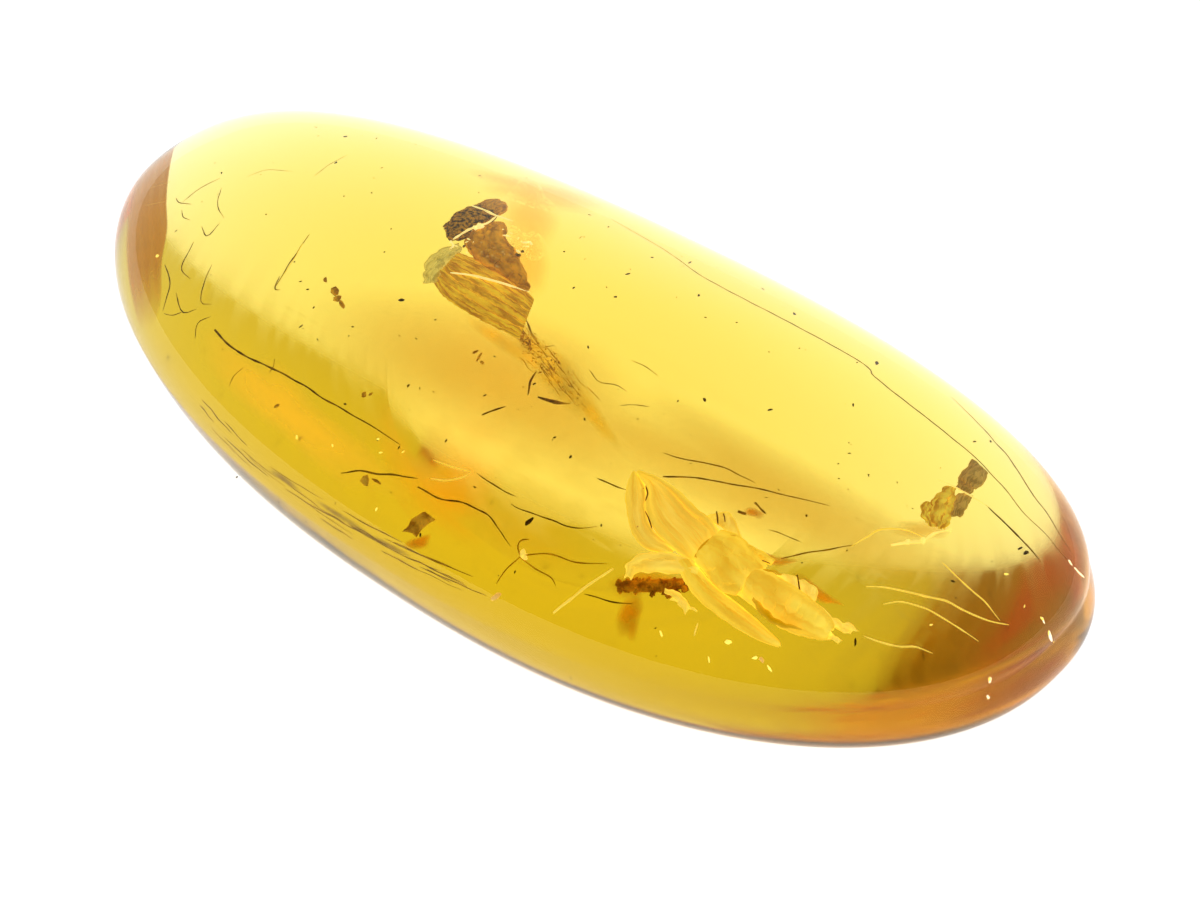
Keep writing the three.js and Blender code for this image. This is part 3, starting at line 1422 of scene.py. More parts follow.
    def build(self, effects: SharedEffects) -> list[bpy.types.Object]:
        """Makes all the bud scale's pieces.

        Args:
            effects: the shared node groups.

        Returns:
            The pieces.
        """
        crumb, brown, husk = (f.make(effects) for f in (self.crumb, self.brown, self.husk))
        fan, pale = self.fan.make(effects), self.pale.make(effects)
        skins = self.lobes()
        dress = {"crumb_lobe": crumb, "smooth_lobe": brown, "brown_lobe": brown, "husk": husk}
        made = [make_piece(f"bud_{k}", sink(s, -self.RAISED), dress[k]) for k, s in skins.items()]
        dark_grains, pale_grains = self.crumbs()
        rest = (
            ("bud_pleated_fan", self.pleated_fan(), fan, Slot.BARK),
            ("bud_pale_hairs", self.pale_hairs(), pale, Slot.HAIR),
            ("bud_dark_crumbs", dark_grains, crumb, Slot.BARK),
            ("bud_pale_crumbs", pale_grains, pale, Slot.BARK),
            ("bud_haze", self.clouds(), self.haze.make(effects), Slot.BARK),
        )
        made += [make_piece(name, sink(skin, -self.RAISED), dress) for name, skin, dress, slot in rest]
        return made


class DustTrail:
    """Bark dust that trails from the bud scale to the insect, with a dark twig and a hook in it."""

    ROUTE = ((-0.6, -0.1), (0.25, -0.4), (1.0, -0.62), (1.75, -0.88), (2.35, -1.08), (3.2, -1.3))
    HEIGHT = (5.4, 4.8)

    def __init__(self) -> None:
        """Sets the finishes of its parts."""
        self.dust = BarkFinish("dust_brown", (0.66, 0.34, 0.01), (0.36, 0.15, 0.0), 5000.0, glow=0.2)
        self.twig = BarkFinish("dust_twig", (0.36, 0.20, 0.01), (0.12, 0.05, 0.0), 3000.0)
        self.veil = StainFinish("dust_veil", (0.92, 0.58, 0.01), 0.5, 0.5)

    def trail(self) -> Skin:
        """The dust: grains spread about the route, most and widest in its first half.

        A grain's place is the route's point at a random share, plus a normal spread that narrows along
        the route.

        Returns:
            The skin of all the grains.
        """
        rng = np.random.default_rng(71)
        count = 420
        share = rng.beta(1.0, 1.9, count)
        line = even_steps(on_plan(self.ROUTE, *self.HEIGHT), 400)
        middle = line[(share * 399).astype(int)]
        wide = 0.05 + 0.2 * np.sin(np.pi * share) ** 2
        spread = rng.normal(size=(count, 3)) * wide[:, None] * np.array([1.0, 1.0, 0.4])
        size = rng.gamma(2.0, 0.006, count) + 0.006
        return grains(settle(middle + spread), size, 72, (1.5, 0.8, 0.6))

    def streaks(self) -> Skin:
        """Fine brown streaks that lie along the route, side by side and end over end.

        Each streak follows a short stretch of the route, moved sideways by a random amount.

        Returns:
            The skin of all the streaks.
        """
        rng = np.random.default_rng(74)
        line = even_steps(on_plan(self.ROUTE, *self.HEIGHT), 101)
        made = []
        for _ in range(34):
            start = int(100 * rng.beta(1.0, 1.5) * 0.8)
            stretch = line[start : start + int(rng.uniform(12, 26)) : 4]
            if len(stretch) < 3:
                continue
            aside = rng.normal(size=3) * np.array([0.06, 0.14, 0.05]) * (0.5 + 1.2 * math.sin(0.03 * start))
            route = [(float(x), float(y)) for x, y in stretch[:, :2] + aside[:2]]
            height = (float(stretch[0, 2] + aside[2]), float(stretch[-1, 2] + aside[2]))
            made.append(Hair(route, height, float(rng.uniform(0.006, 0.015)), 0.3, 0.2, 0.03))
        return hairs(made, 75)

    def strands(self) -> Skin:
        """The short dark twig, the hook and the loose ends beside the trail.

        Returns:
            One skin with all of them.
        """
        group = (
            Hair(((1.65, -1.55), (2.1, -1.45), (2.45, -1.25)), radius=0.06),
            Hair(((1.0, -0.9), (1.15, -1.3), (1.4, -1.65)), radius=0.035),
            Hair(((0.9, -2.8), (1.05, -2.5), (1.2, -2.25)), radius=0.035),
            Hair(((-1.7, 0.2), (-0.9, 0.0), (-0.1, -0.25)), radius=0.04),
            Hair(((-0.5, 0.3), (0.2, -0.1), (0.9, -0.4)), radius=0.03),
            Hair(((0.1, -0.5), (0.5, -0.25), (0.75, 0.05)), radius=0.02),
        )
        return hairs(group, 73)

    def build(self, effects: SharedEffects) -> None:
        """Makes the dust, its streaks, its veil and its strands.

        Args:
            effects: the shared node groups.
        """
        dust = self.dust.make(effects)
        make_piece("dust_trail", self.trail(), dust)
        make_piece("dust_streaks", self.streaks(), dust)
        make_piece("dust_strands", self.strands(), self.twig.make(effects))
        patches = (
            Patch((-0.1, -0.25), (1.3, 0.36), -20.0, 5.2),
            Patch((1.3, -0.65), (1.4, 0.62), -22.0, 5.0),
            Patch((2.1, -0.95), (1.5, 0.45), -20.0, 4.9),
            Patch((3.2, -1.25), (1.4, 0.24), -17.0, 4.8),
            Patch((-0.4, -0.7), (1.6, 0.3), -5.0, 5.0),
        )
        skins = [patch.skin(80 + number) for number, patch in enumerate(patches)]
        make_piece("dust_veil", join(skins), self.veil.make(effects))


class BarkScrap:
    """The scrap at the broad end: two striped plates, a crumpled scale, a jointed stalk and a hair."""

    RAISED = 0.5  # mm that it lies above the heights below

    def __init__(self) -> None:
        """Sets the finishes of its parts."""
        self.plate = BarkFinish(
            "scrap_plate", (0.86, 0.58, 0.14), (0.42, 0.24, 0.03), 2500.0, 16.0, 0.18, 0.86
        )
        self.scale = BarkFinish("scrap_scale", (1.0, 0.78, 0.08), (0.48, 0.21, 0.0), 2400.0, 7.0, 0.45)
        self.stalk = PaperFinish("scrap_stalk", pale=(1.0, 0.82, 0.25), middle_shade=0.1, glow=0.85, lines=3.0)
        self.hair = BarkFinish("scrap_hair", (0.42, 0.24, 0.02), (0.14, 0.06, 0.003), 2500.0)

    @staticmethod
    def plates() -> Skin:
        """The two striped plates, end to end with a dark joint between them.

        Returns:
            One skin with the plates and the joint.
        """
        upper = Petal(
            left=((11.28, 3.9), (11.38, 3.5), (11.42, 3.08)),
            right=((11.82, 3.8), (11.95, 3.5), (11.98, 3.1)),
            height=(4.3, 4.4), camber=0.15, thickness=0.3, ragged=0.02, seed=81,
        )
        joint = Petal(
            left=((11.45, 3.12), (11.5, 2.95), (11.55, 2.8)),
            right=((11.92, 3.12), (11.95, 2.98), (11.95, 2.85)),
            height=(4.25, 4.3), camber=0.05, thickness=0.2, ragged=0.03, seed=82,
        )
        lower = Petal(
            left=((11.75, 2.7), (11.85, 2.4), (12.08, 1.9)),
            right=((12.05, 2.85), (12.15, 2.5), (12.28, 2.05)),
            height=(4.35, 4.4), camber=0.12, thickness=0.25, ragged=0.02, seed=83,
        )
        return join([upper.skin(), joint.skin(), lower.skin()])

    @staticmethod
    def crumple() -> Skin:
        """The crumpled ochre scale beside the plates, with its small flap.

        Returns:
            One skin with the scale and its flap.
        """
        wide = Petal(
            left=((11.42, 2.68), (11.38, 2.05), (11.62, 1.55), (11.9, 1.27)),
            right=((11.56, 2.7), (11.85, 2.4), (12.12, 1.85), (12.3, 1.45)),
            height=(4.5, 4.4), camber=0.2, thickness=0.15, pleats=(2.5, 0.06), ragged=0.06, seed=85,
        )
        flap = Petal(
            left=((11.3, 1.75), (11.45, 1.5), (11.75, 1.25)),
            right=((11.45, 1.95), (11.65, 1.75), (11.9, 1.45)),
            height=(4.5, 4.4), camber=0.1, thickness=0.1, ragged=0.04, seed=86,
        )
        return join([wide.skin(), flap.skin()])

    @staticmethod
    def stalk_and_hair() -> tuple[Skin, Skin]:
        """The pale jointed stalk with its knots, and the hair that crosses the scrap.

        Returns:
            The skin of the stalk, its knots and a pale hair, and the skin of the dark hair.
        """
        stalk = Hair(
            ((11.6, 0.1), (11.85, 0.45), (12.1, 0.75), (12.15, 1.15), (12.35, 1.5)), radius=0.05, start=0.7
        )
        knots = settle(
            np.array([[12.1, 0.75, 4.5], [12.08, 0.78, 4.55], [11.85, 0.45, 4.5], [12.35, 1.5, 4.5]])
        )
        beads = grains(knots, np.array([0.1, 0.08, 0.07, 0.07]), 88)
        pale = Hair(((11.1, 2.65), (11.5, 2.75), (11.9, 2.8), (12.6, 2.85)), (4.7, 4.6), 0.03)
        dark = Hair(((12.5, 2.86), (13.4, 2.7), (14.0, 2.6), (14.65, 2.45)), (4.6, 4.3), 0.03)
        return join([stalk.skin(87), pale.skin(89), beads]), dark.skin(90)

    def build(self, effects: SharedEffects) -> None:
        """Makes the scrap's pieces.

        Args:
            effects: the shared node groups.
        """
        plate, scale, stalk, hair = (f.make(effects) for f in (self.plate, self.scale, self.stalk, self.hair))
        pale, dark = self.stalk_and_hair()
        parts = (
            ("scrap_plates", self.plates(), plate, Slot.BARK),
            ("scrap_crumpled_scale", self.crumple(), scale, Slot.BARK),
            ("scrap_stalk", pale, stalk, Slot.BARK),
            ("scrap_hair", dark, hair, Slot.HAIR),
        )
        for name, skin, dress, slot in parts:
            make_piece(name, sink(skin, -self.RAISED), dress)


class PlantHairs:
    """The loose plant hairs, dark and pale, the star-shaped hair, the net of hairs at the narrow end, and
    painted glints.
    """

    FINE = 0.7  # the share of the radii in DARK, PALE, NET and STAR that is used
    DARK = (
        Hair(((5.4, -1.1), (5.8, -1.0), (6.5, -0.7), (6.9, -0.55), (7.3, -0.5), (7.8, -0.45)), radius=0.032),
        Hair(((5.9, -1.7), (6.45, -1.3), (6.95, -1.05), (7.45, -0.8), (8.1, -0.5), (9.05, -0.1),
              (9.65, 0.15)),
             radius=0.032, start=1.2),
        Hair(((9.8, -1.9), (10.15, -1.4), (10.4, -1.05), (10.6, -0.8), (10.9, -0.4)),
             radius=0.032, start=0.8),
        Hair(((9.0, -1.4), (9.3, -1.3), (9.85, -1.2)), radius=0.022),
        Hair(((-1.8, 5.0), (0.3, 4.8), (2.3, 4.5), (6.9, 4.7), (7.8, 4.45), (10.2, 4.15), (11.0, 4.05),
              (11.7, 3.9),
              (12.6, 3.65), (13.3, 3.4), (14.05, 3.3), (14.6, 3.15), (15.0, 3.1)),
              (5.9, 5.8, 5.2, 4.6, 3.6), 0.03),
        Hair(((9.45, 5.45), (11.0, 5.0), (12.0, 4.65), (13.15, 4.1), (13.7, 3.9), (14.25, 3.6), (14.75, 3.4)),
             (5.0, 4.7, 3.7), 0.03),
        Hair(((-7.45, -4.45), (-6.7, -4.65), (-6.0, -4.7), (-5.25, -4.65), (-4.0, -4.6), (-3.2, -4.65),
              (-2.1, -4.65), (-1.2, -4.65), (-0.2, -4.7)), radius=0.036, start=1.5),
        Hair(((-5.15, -4.35), (-5.0, -4.6), (-4.95, -4.8)), radius=0.02),
        Hair(((-5.75, -5.05), (-5.8, -5.4), (-5.7, -5.8)), radius=0.02),
        Hair(((-1.0, -6.2), (-0.6, -5.9), (0.05, -5.6), (0.9, -5.25)), (4.2, 4.4), 0.04, kink=0.05),
        Hair(((1.1, -5.5), (1.9, -5.45), (2.35, -5.25), (2.8, -5.15), (3.35, -5.2), (3.7, -5.35),
              (4.3, -5.6)),
             radius=0.034, start=1.0, kink=0.04),
        Hair(((2.1, -4.3), (3.0, -4.35), (3.4, -4.3)), radius=0.03),
        Hair(((3.45, -4.55), (3.75, -4.55), (4.6, -4.35), (5.0, -4.3), (5.35, -4.15), (5.65, -3.85)),
             radius=0.03),
        Hair(((4.65, -2.7), (5.05, -2.65), (5.5, -2.55)), radius=0.035, end=0.1),
        Hair(((6.75, -5.7), (7.5, -5.45), (7.9, -5.2)), radius=0.03),
        Hair(((2.05, -0.1), (2.5, -0.25), (2.9, -0.1), (3.3, -0.1)), radius=0.022),
        Hair(((3.5, -0.55), (3.8, -0.3), (4.1, -0.15)), radius=0.02),
        Hair(((2.65, 0.8), (3.1, 0.85), (3.55, 0.8)), radius=0.02),
        Hair(((8.05, -1.42), (8.15, -1.4), (8.25, -1.36)), radius=0.07, start=0.9, end=0.8),
        Hair(((8.2, -0.95), (8.4, -1.0), (8.62, -1.05)), radius=0.055, start=0.9),
        Hair(((7.7, -1.85), (7.85, -2.0), (8.0, -2.15)), (5.1, 5.1), 0.035, 0.8, 0.5),
        Hair(((7.88, -1.8), (8.0, -1.9), (8.08, -1.98)), (5.1, 5.1), 0.03, 0.8, 0.5),
        Hair(((5.78, -2.22), (5.98, -2.38), (6.1, -2.6)), (4.75, 4.75), 0.035, 0.3, 0.3),
        Hair(((6.3, -2.85), (6.55, -3.0), (6.8, -3.18)), (4.78, 4.78), 0.03, 0.3, 0.3),
        Hair(((9.05, -2.36), (9.4, -2.38), (9.75, -2.3)), (5.1, 5.05), 0.028, 0.6, 0.6),
        Hair(((10.5, -2.2), (10.7, -2.38), (10.9, -2.56)), (5.2, 5.15), 0.035, 0.8, 0.3),
    )
    PALE = (
        Hair(((10.85, -0.5), (10.95, 0.0), (11.0, 0.3), (11.25, 0.6), (11.55, 0.8), (11.95, 0.9)),
             radius=0.04),
        Hair(((1.2, -5.1), (1.6, -4.9), (1.85, -4.65), (1.95, -4.35)), radius=0.032),
        Hair(((0.85, -4.6), (1.4, -4.5), (1.95, -4.35)), radius=0.028),
        Hair(((6.4, -6.4), (6.55, -5.6), (6.8, -4.6)), (3.9, 4.4), 0.055, 0.8, 0.6),
        Hair(((11.9, -1.25), (12.25, -0.95), (12.7, -0.7), (13.1, -0.5), (13.55, -0.25), (14.0, -0.15),
              (14.4, -0.05),
              (14.75, 0.1), (15.1, 0.35)), (4.5, 3.9), 0.045),
        Hair(((12.55, -1.4), (12.8, -1.05), (13.3, -0.8), (13.75, -0.7), (14.2, -0.65), (14.9, -0.6)),
             (4.5, 4.0), 0.036),
        Hair(((12.8, -2.45), (13.2, -2.3), (13.65, -2.05), (13.9, -1.8), (14.3, -1.65)), (4.4, 4.0), 0.036),
        Hair(((12.8, 0.6), (13.4, 0.5), (13.9, 0.45), (14.3, 0.4), (14.9, 0.25)), (4.4, 4.1), 0.034),
        Hair(((9.5, -4.7), (9.6, -4.9), (9.7, -5.1)), radius=0.03),
        Hair(((-7.7, -0.55), (-7.3, -1.55), (-7.0, -2.4)), radius=0.022),
    )
    NET = (
        Hair(((-11.9, 0.0), (-12.1, -0.6), (-12.15, -1.25)), radius=0.026),
        Hair(((-12.5, -1.2), (-12.2, -1.3), (-11.8, -1.2)), radius=0.03),
        Hair(((-11.9, -1.5), (-11.6, -1.7), (-11.3, -1.7)), radius=0.026),
        Hair(((-11.5, -0.3), (-11.0, -0.9), (-10.4, -1.2)), radius=0.022),
        Hair(((-10.75, -1.75), (-10.3, -1.95), (-10.35, -1.4)), radius=0.03),
        Hair(((-10.5, -2.3), (-10.3, -2.75), (-10.05, -3.25), (-9.5, -3.4)), radius=0.028),
        Hair(((-10.7, -3.35), (-10.2, -3.65), (-9.9, -3.95), (-9.5, -4.75)), radius=0.034),
        Hair(((-9.3, -2.7), (-9.0, -3.3), (-8.55, -3.9), (-8.2, -3.8)), radius=0.026),
        Hair(((-9.55, -4.0), (-8.85, -4.45), (-8.5, -4.15)), radius=0.03),
        Hair(((-9.4, -4.8), (-9.1, -4.7), (-8.85, -4.45)), radius=0.024),
        Hair(((-7.8, -5.0), (-8.1, -4.5), (-7.9, -4.15)), radius=0.026),
        Hair(((-9.5, 1.35), (-9.55, 2.0), (-9.5, 2.6)), radius=0.016),
        Hair(((-7.7, -0.5), (-7.35, -1.5), (-7.0, -2.45)), radius=0.03),
        Hair(((-7.2, -2.1), (-6.95, -2.5), (-6.8, -2.45)), radius=0.03),
        Hair(((-11.2, 0.4), (-10.9, 0.9), (-10.2, 1.2)), radius=0.015),
    )
    STAR = (
        Hair(((4.7, -5.7), (4.45, -5.5), (4.4, -5.3), (4.55, -5.15)), radius=0.034),
        Hair(((4.7, -5.7), (5.2, -5.25), (6.0, -5.0), (6.6, -4.6)), radius=0.03, start=0.8),
        Hair(((4.7, -5.7), (4.65, -6.2), (4.7, -6.65)), (4.4, 4.1), 0.03, 0.8),
        Hair(((4.7, -5.7), (5.2, -5.75), (5.7, -5.7), (6.0, -5.85)), (4.4, 4.3), 0.03, 0.8),
    )

    # Painted glints: short white slivers near the surface that glow, in place of the reflections of tiny
    # cracks and bubbles.
    GLINTS = (
        Hair(((14.85, 3.15), (15.0, 3.1)), (3.75, 3.65), 0.03, 0.8),
        Hair(((15.05, 3.1), (15.2, 3.1), (15.35, 3.15)), (3.6, 3.4), 0.035, 0.7),
        Hair(((15.85, 1.1), (15.95, 1.05), (16.1, 1.0)), (3.5, 3.3), 0.045, 0.7, 0.5),
        Hair(((15.55, 1.2), (15.7, 1.12)), (3.8, 3.7), 0.028, 0.7),
        Hair(((15.63, -1.0), (15.68, -1.1)), (3.3, 3.2), 0.035, 0.8, 0.7),
        Hair(((15.9, -1.38), (16.02, -1.4)), (2.85, 2.8), 0.035, 0.8, 0.7),
    )

    def __init__(self) -> None:
        """Sets the finishes of the hairs."""
        self.dark = BarkFinish("hair_dark", (0.42, 0.23, 0.012), (0.15, 0.065, 0.002), 2500.0, glow=0.04)
        self.pale = PaperFinish("hair_pale", pale=(1.0, 0.76, 0.14), middle_shade=0.0, glow=0.7, lines=2.0)
        self.gold = BarkFinish("hair_gold", (0.80, 0.44, 0.015), (0.42, 0.19, 0.003), 2500.0, glow=0.15)
        # Painted glints: the slivers glow white.
        self.glint = PaperFinish("painted_glint_sliver", pale=(1.0, 0.95, 0.8), middle_shade=0.0, glow=1.3, lines=2.0)

    def fine(self, group: Sequence[Hair], seed: int) -> Skin:
        """A list of hairs in one skin, with every radius cut to the share above."""
        return hairs([replace(hair, radius=self.FINE * hair.radius) for hair in group], seed)

    def build(self, effects: SharedEffects) -> None:
        """Makes the four groups of hairs, the bead of the star and the painted glints.

        Args:
            effects: the shared node groups.
        """
        dark, pale, gold = self.dark.make(effects), self.pale.make(effects), self.gold.make(effects)
        make_piece("plant_hairs_dark", self.fine(self.DARK, 101), dark)
        make_piece("plant_hairs_pale", self.fine(self.PALE, 102), pale)
        make_piece("hair_net", self.fine(self.NET, 103), dark)
        make_piece("star_hair", self.fine(self.STAR, 105), gold)
        rng = np.random.default_rng(104)
        bead = settle(np.array([[4.73, -5.65, 4.5]]) + rng.normal(size=(6, 3)) * 0.045)
        make_piece("star_bead", grains(bead, np.full(6, 0.075), 106), pale)
        make_piece("painted_glint_slivers", hairs(self.GLINTS, 107), self.glint.make(effects))


class Specks:
    """Brown flakes, dark specks, glowing flecks of painted glint, brown stains, broad patches of painted tan
    shade and a milky cloud.
    """

    LEVEL = 4.4  # mm above the seat, for places that are given without a height
    FLAKES = (  # x, y, size
        (-5.2, -1.85, 0.16), (-5.45, -1.7, 0.13), (-4.95, -1.95, 0.12), (-6.0, -1.55, 0.08),
        (-0.75, -1.28, 0.11), (-0.55, -1.36, 0.1), (-0.35, -1.45, 0.07),
        (-0.25, -6.1, 0.17), (0.0, -5.95, 0.11), (-2.2, -3.95, 0.1), (-2.05, -3.85, 0.08), (-4.0, -5.5, 0.06),
    )
    LEAF = Petal(
        left=((1.6, -6.7), (1.6, -6.3), (1.7, -5.9)), right=((2.0, -6.6), (2.0, -6.3), (2.1, -5.9)),
        height=(4.0, 4.1), camber=0.1, thickness=0.12, ragged=0.03, seed=131,
    )
    ORANGE = ((4.87, -6.78, 3.75, 0.12), (11.35, -4.55, 4.2, 0.1))  # x, y, height, size
    DARK = (  # x, y, size
        (-12.05, 0.2, 0.045), (-10.9, 0.65, 0.04), (-10.3, 3.2, 0.06), (-6.15, -2.05, 0.05),
        (0.35, 3.15, 0.05),
        (0.7, 2.35, 0.06), (1.45, 0.5, 0.045), (-1.6, 2.8, 0.04), (-0.95, 2.9, 0.04), (-1.55, 4.3, 0.04),
        (0.5, -2.25, 0.05), (-1.4, -3.1, 0.045), (3.65, -2.55, 0.05), (2.9, -2.3, 0.04), (14.1, 2.4, 0.1),
        (13.9, 2.4, 0.06), (11.15, 4.75, 0.04), (-2.4, -4.45, 0.05), (5.0, 0.9, 0.09), (12.75, -2.72, 0.07),
    )
    # Painted glints: pale flecks that glow, in place of the glints of small bubbles.
    GLINT_FLECKS = (  # x, y, height, size
        (-0.5, -5.15, 4.4, 0.05), (0.0, -4.8, 4.4, 0.04), (0.55, -6.5, 4.0, 0.05), (-1.8, -5.6, 4.2, 0.04),
        (14.2, 1.45, 4.6, 0.05), (15.1, 1.05, 4.2, 0.05), (13.8, -1.1, 4.4, 0.05), (11.2, -4.6, 4.2, 0.11),
        (11.65, -4.6, 4.1, 0.07), (10.4, -4.6, 4.2, 0.07), (10.3, -5.2, 3.9, 0.08), (-11.2, -3.1, 4.2, 0.05),
        (8.9, -5.3, 4.0, 0.06), (15.6, 1.15, 3.9, 0.06), (15.9, 1.05, 3.5, 0.06), (16.15, 1.05, 3.2, 0.05),
        (15.65, -1.05, 3.3, 0.05), (15.95, -1.4, 2.8, 0.05), (-2.85, -5.9, 4.1, 0.05),
        (-0.85, -4.85, 4.4, 0.05),
    )
    STAINS = (
        Patch((8.0, -5.3), (0.9, 0.35), -65.0, 3.9),
        Patch((7.6, -4.3), (0.9, 0.4), 40.0, 3.8),
        Patch((8.35, -1.2), (0.28, 0.16), 20.0, 4.4),
        Patch((2.1, -6.45), (0.45, 0.22), 60.0, 3.6),
    )
    WEDGES = (
        Petal(((10.25, -2.1), (10.8, -2.25), (11.3, -2.32), (11.85, -2.02)),
              ((10.25, -2.05), (10.55, -1.95), (11.15, -2.0), (11.85, -1.98)), (4.5, 4.3),
              0.1, 0.08, seed=134),
        Petal(((9.0, -2.15), (9.5, -2.2), (9.85, -2.15), (10.2, -1.7)),
              ((9.0, -2.1), (9.5, -1.98), (9.9, -1.8), (10.2, -1.62)), (4.5, 4.4), 0.1, 0.08, seed=135),
    )
    # Painted shade: broad tan patches that deepen the gold over the near half of the window, and a soft
    # shadow beside the bark scrap.
    TAN_SHADES = (
        Patch((0.5, -1.4), (6.5, 2.0), 2.0, 3.2),
        Patch((8.0, -0.3), (5.0, 1.5), 4.0, 3.4),
        Patch((11.8, 1.1), (0.8, 0.35), 40.0, 4.3),
    )
    MILK = (
        Patch((-3.7, -5.15), (4.2, 0.95), -11.0, 3.6),
    )

    def __init__(self) -> None:
        """Sets the finishes."""
        self.flake = BarkFinish("flake_brown", (0.85, 0.50, 0.04), (0.42, 0.18, 0.003), 3500.0, glow=0.2)
        self.orange = PaperFinish("flake_orange", pale=(1.0, 0.60, 0.16), middle_shade=0.0, glow=0.5, lines=2.0)
        self.dark = BarkFinish("speck_dark", (0.16, 0.09, 0.01), (0.03, 0.014, 0.002), 3500.0)
        # Painted glints: the flecks glow brighter than the lit resin around them.
        self.bright = PaperFinish("painted_glint_fleck", pale=(1.0, 0.86, 0.18), middle_shade=0.0, glow=1.0, lines=2.0)
        self.stain = StainFinish("resin_stain", (0.80, 0.32, 0.0), 0.8, 0.4)
        # Painted shade: the tan of the broad patches.
        self.tan = StainFinish("painted_tan_shade", (0.82, 0.52, 0.04), 0.42, 0.42, 0.03)
        self.milk = StainFinish("milky_cloud", (1.0, 0.66, 0.06), 0.5, 0.56, 0.0)

    @staticmethod
    def scattered(count: int, stone: AmberStone, seed: int) -> Array:
        """Random places inside the stone: a random angle, a plan scale whose square is even, and a height
        between the belly and the dome.

        Args:
            count: how many.
            stone: the stone they lie in.
            seed: the seed of the random draws.

        Returns:
            Their places, one a row.
        """
        rng = np.random.default_rng(seed)
        reach, lowest, cover = 0.86, 1.6, 0.5
        scale = reach * np.sqrt(rng.uniform(0, 1, count))
        flat = stone.outline(rng.uniform(0, 2 * np.pi, count)) * scale[:, None]
        top = stone.waist + (stone.thickness - stone.waist) * np.sqrt(1 - scale**2)
        height = lowest + (top - cover - lowest) * rng.uniform(0, 1, count)
        return np.column_stack([flat, height])

    def build(self, effects: SharedEffects, stone: AmberStone) -> None:
        """Makes the flakes, specks, painted glint flecks, stains, painted tan shade and the milky cloud.

        Args:
            effects: the shared node groups.
            stone: the stone that the scattered specks lie in.
        """
        rng = np.random.default_rng(111)
        flakes = np.array(self.FLAKES)
        places = settle(np.column_stack([flakes[:, :2], np.full(len(flakes), self.LEVEL)]))
        flake_skin = join([grains(places, flakes[:, 2], 112, (1.5, 0.9, 0.35)), self.LEAF.skin()])
        make_piece("brown_flakes", flake_skin, self.flake.make(effects))
        orange = np.array(self.ORANGE)
        orange_skin = grains(settle(orange[:, :3]), orange[:, 3], 118, (1.3, 1.0, 0.5))
        make_piece("orange_flakes", orange_skin, self.orange.make(effects))
        specks = np.array(self.DARK)
        named = settle(np.column_stack([specks[:, :2], np.full(len(specks), self.LEVEL)]))
        loose = self.scattered(170, stone, 113)
        size = rng.gamma(2.2, 0.008, len(loose)) + 0.008
        dark_skin = grains(
            np.vstack([named, loose]), np.concatenate([specks[:, 2], size]), 114, (1.6, 0.8, 0.6)
        )
        make_piece("dark_specks", dark_skin, self.dark.make(effects))
        # Painted glints: the glowing flecks.
        bright = np.array(self.GLINT_FLECKS)
        glint_fleck_skin = grains(settle(bright[:, :3]), bright[:, 3], 115, (1.5, 0.8, 0.4))
        make_piece("painted_glint_flecks", glint_fleck_skin, self.bright.make(effects))
        stains = [patch.skin(120 + number) for number, patch in enumerate(self.STAINS)]
        stains += [wedge.skin() for wedge in self.WEDGES]
        make_piece("resin_stains", join(stains), self.stain.make(effects))
        # Painted shade: the broad tan patches.
        tan = join([patch.skin(160 + number) for number, patch in enumerate(self.TAN_SHADES)])
        make_piece("painted_tan_shades", tan, self.tan.make(effects))
        milk = join([patch.skin(170 + number) for number, patch in enumerate(self.MILK)])
        make_piece("milky_clouds", milk, self.milk.make(effects))


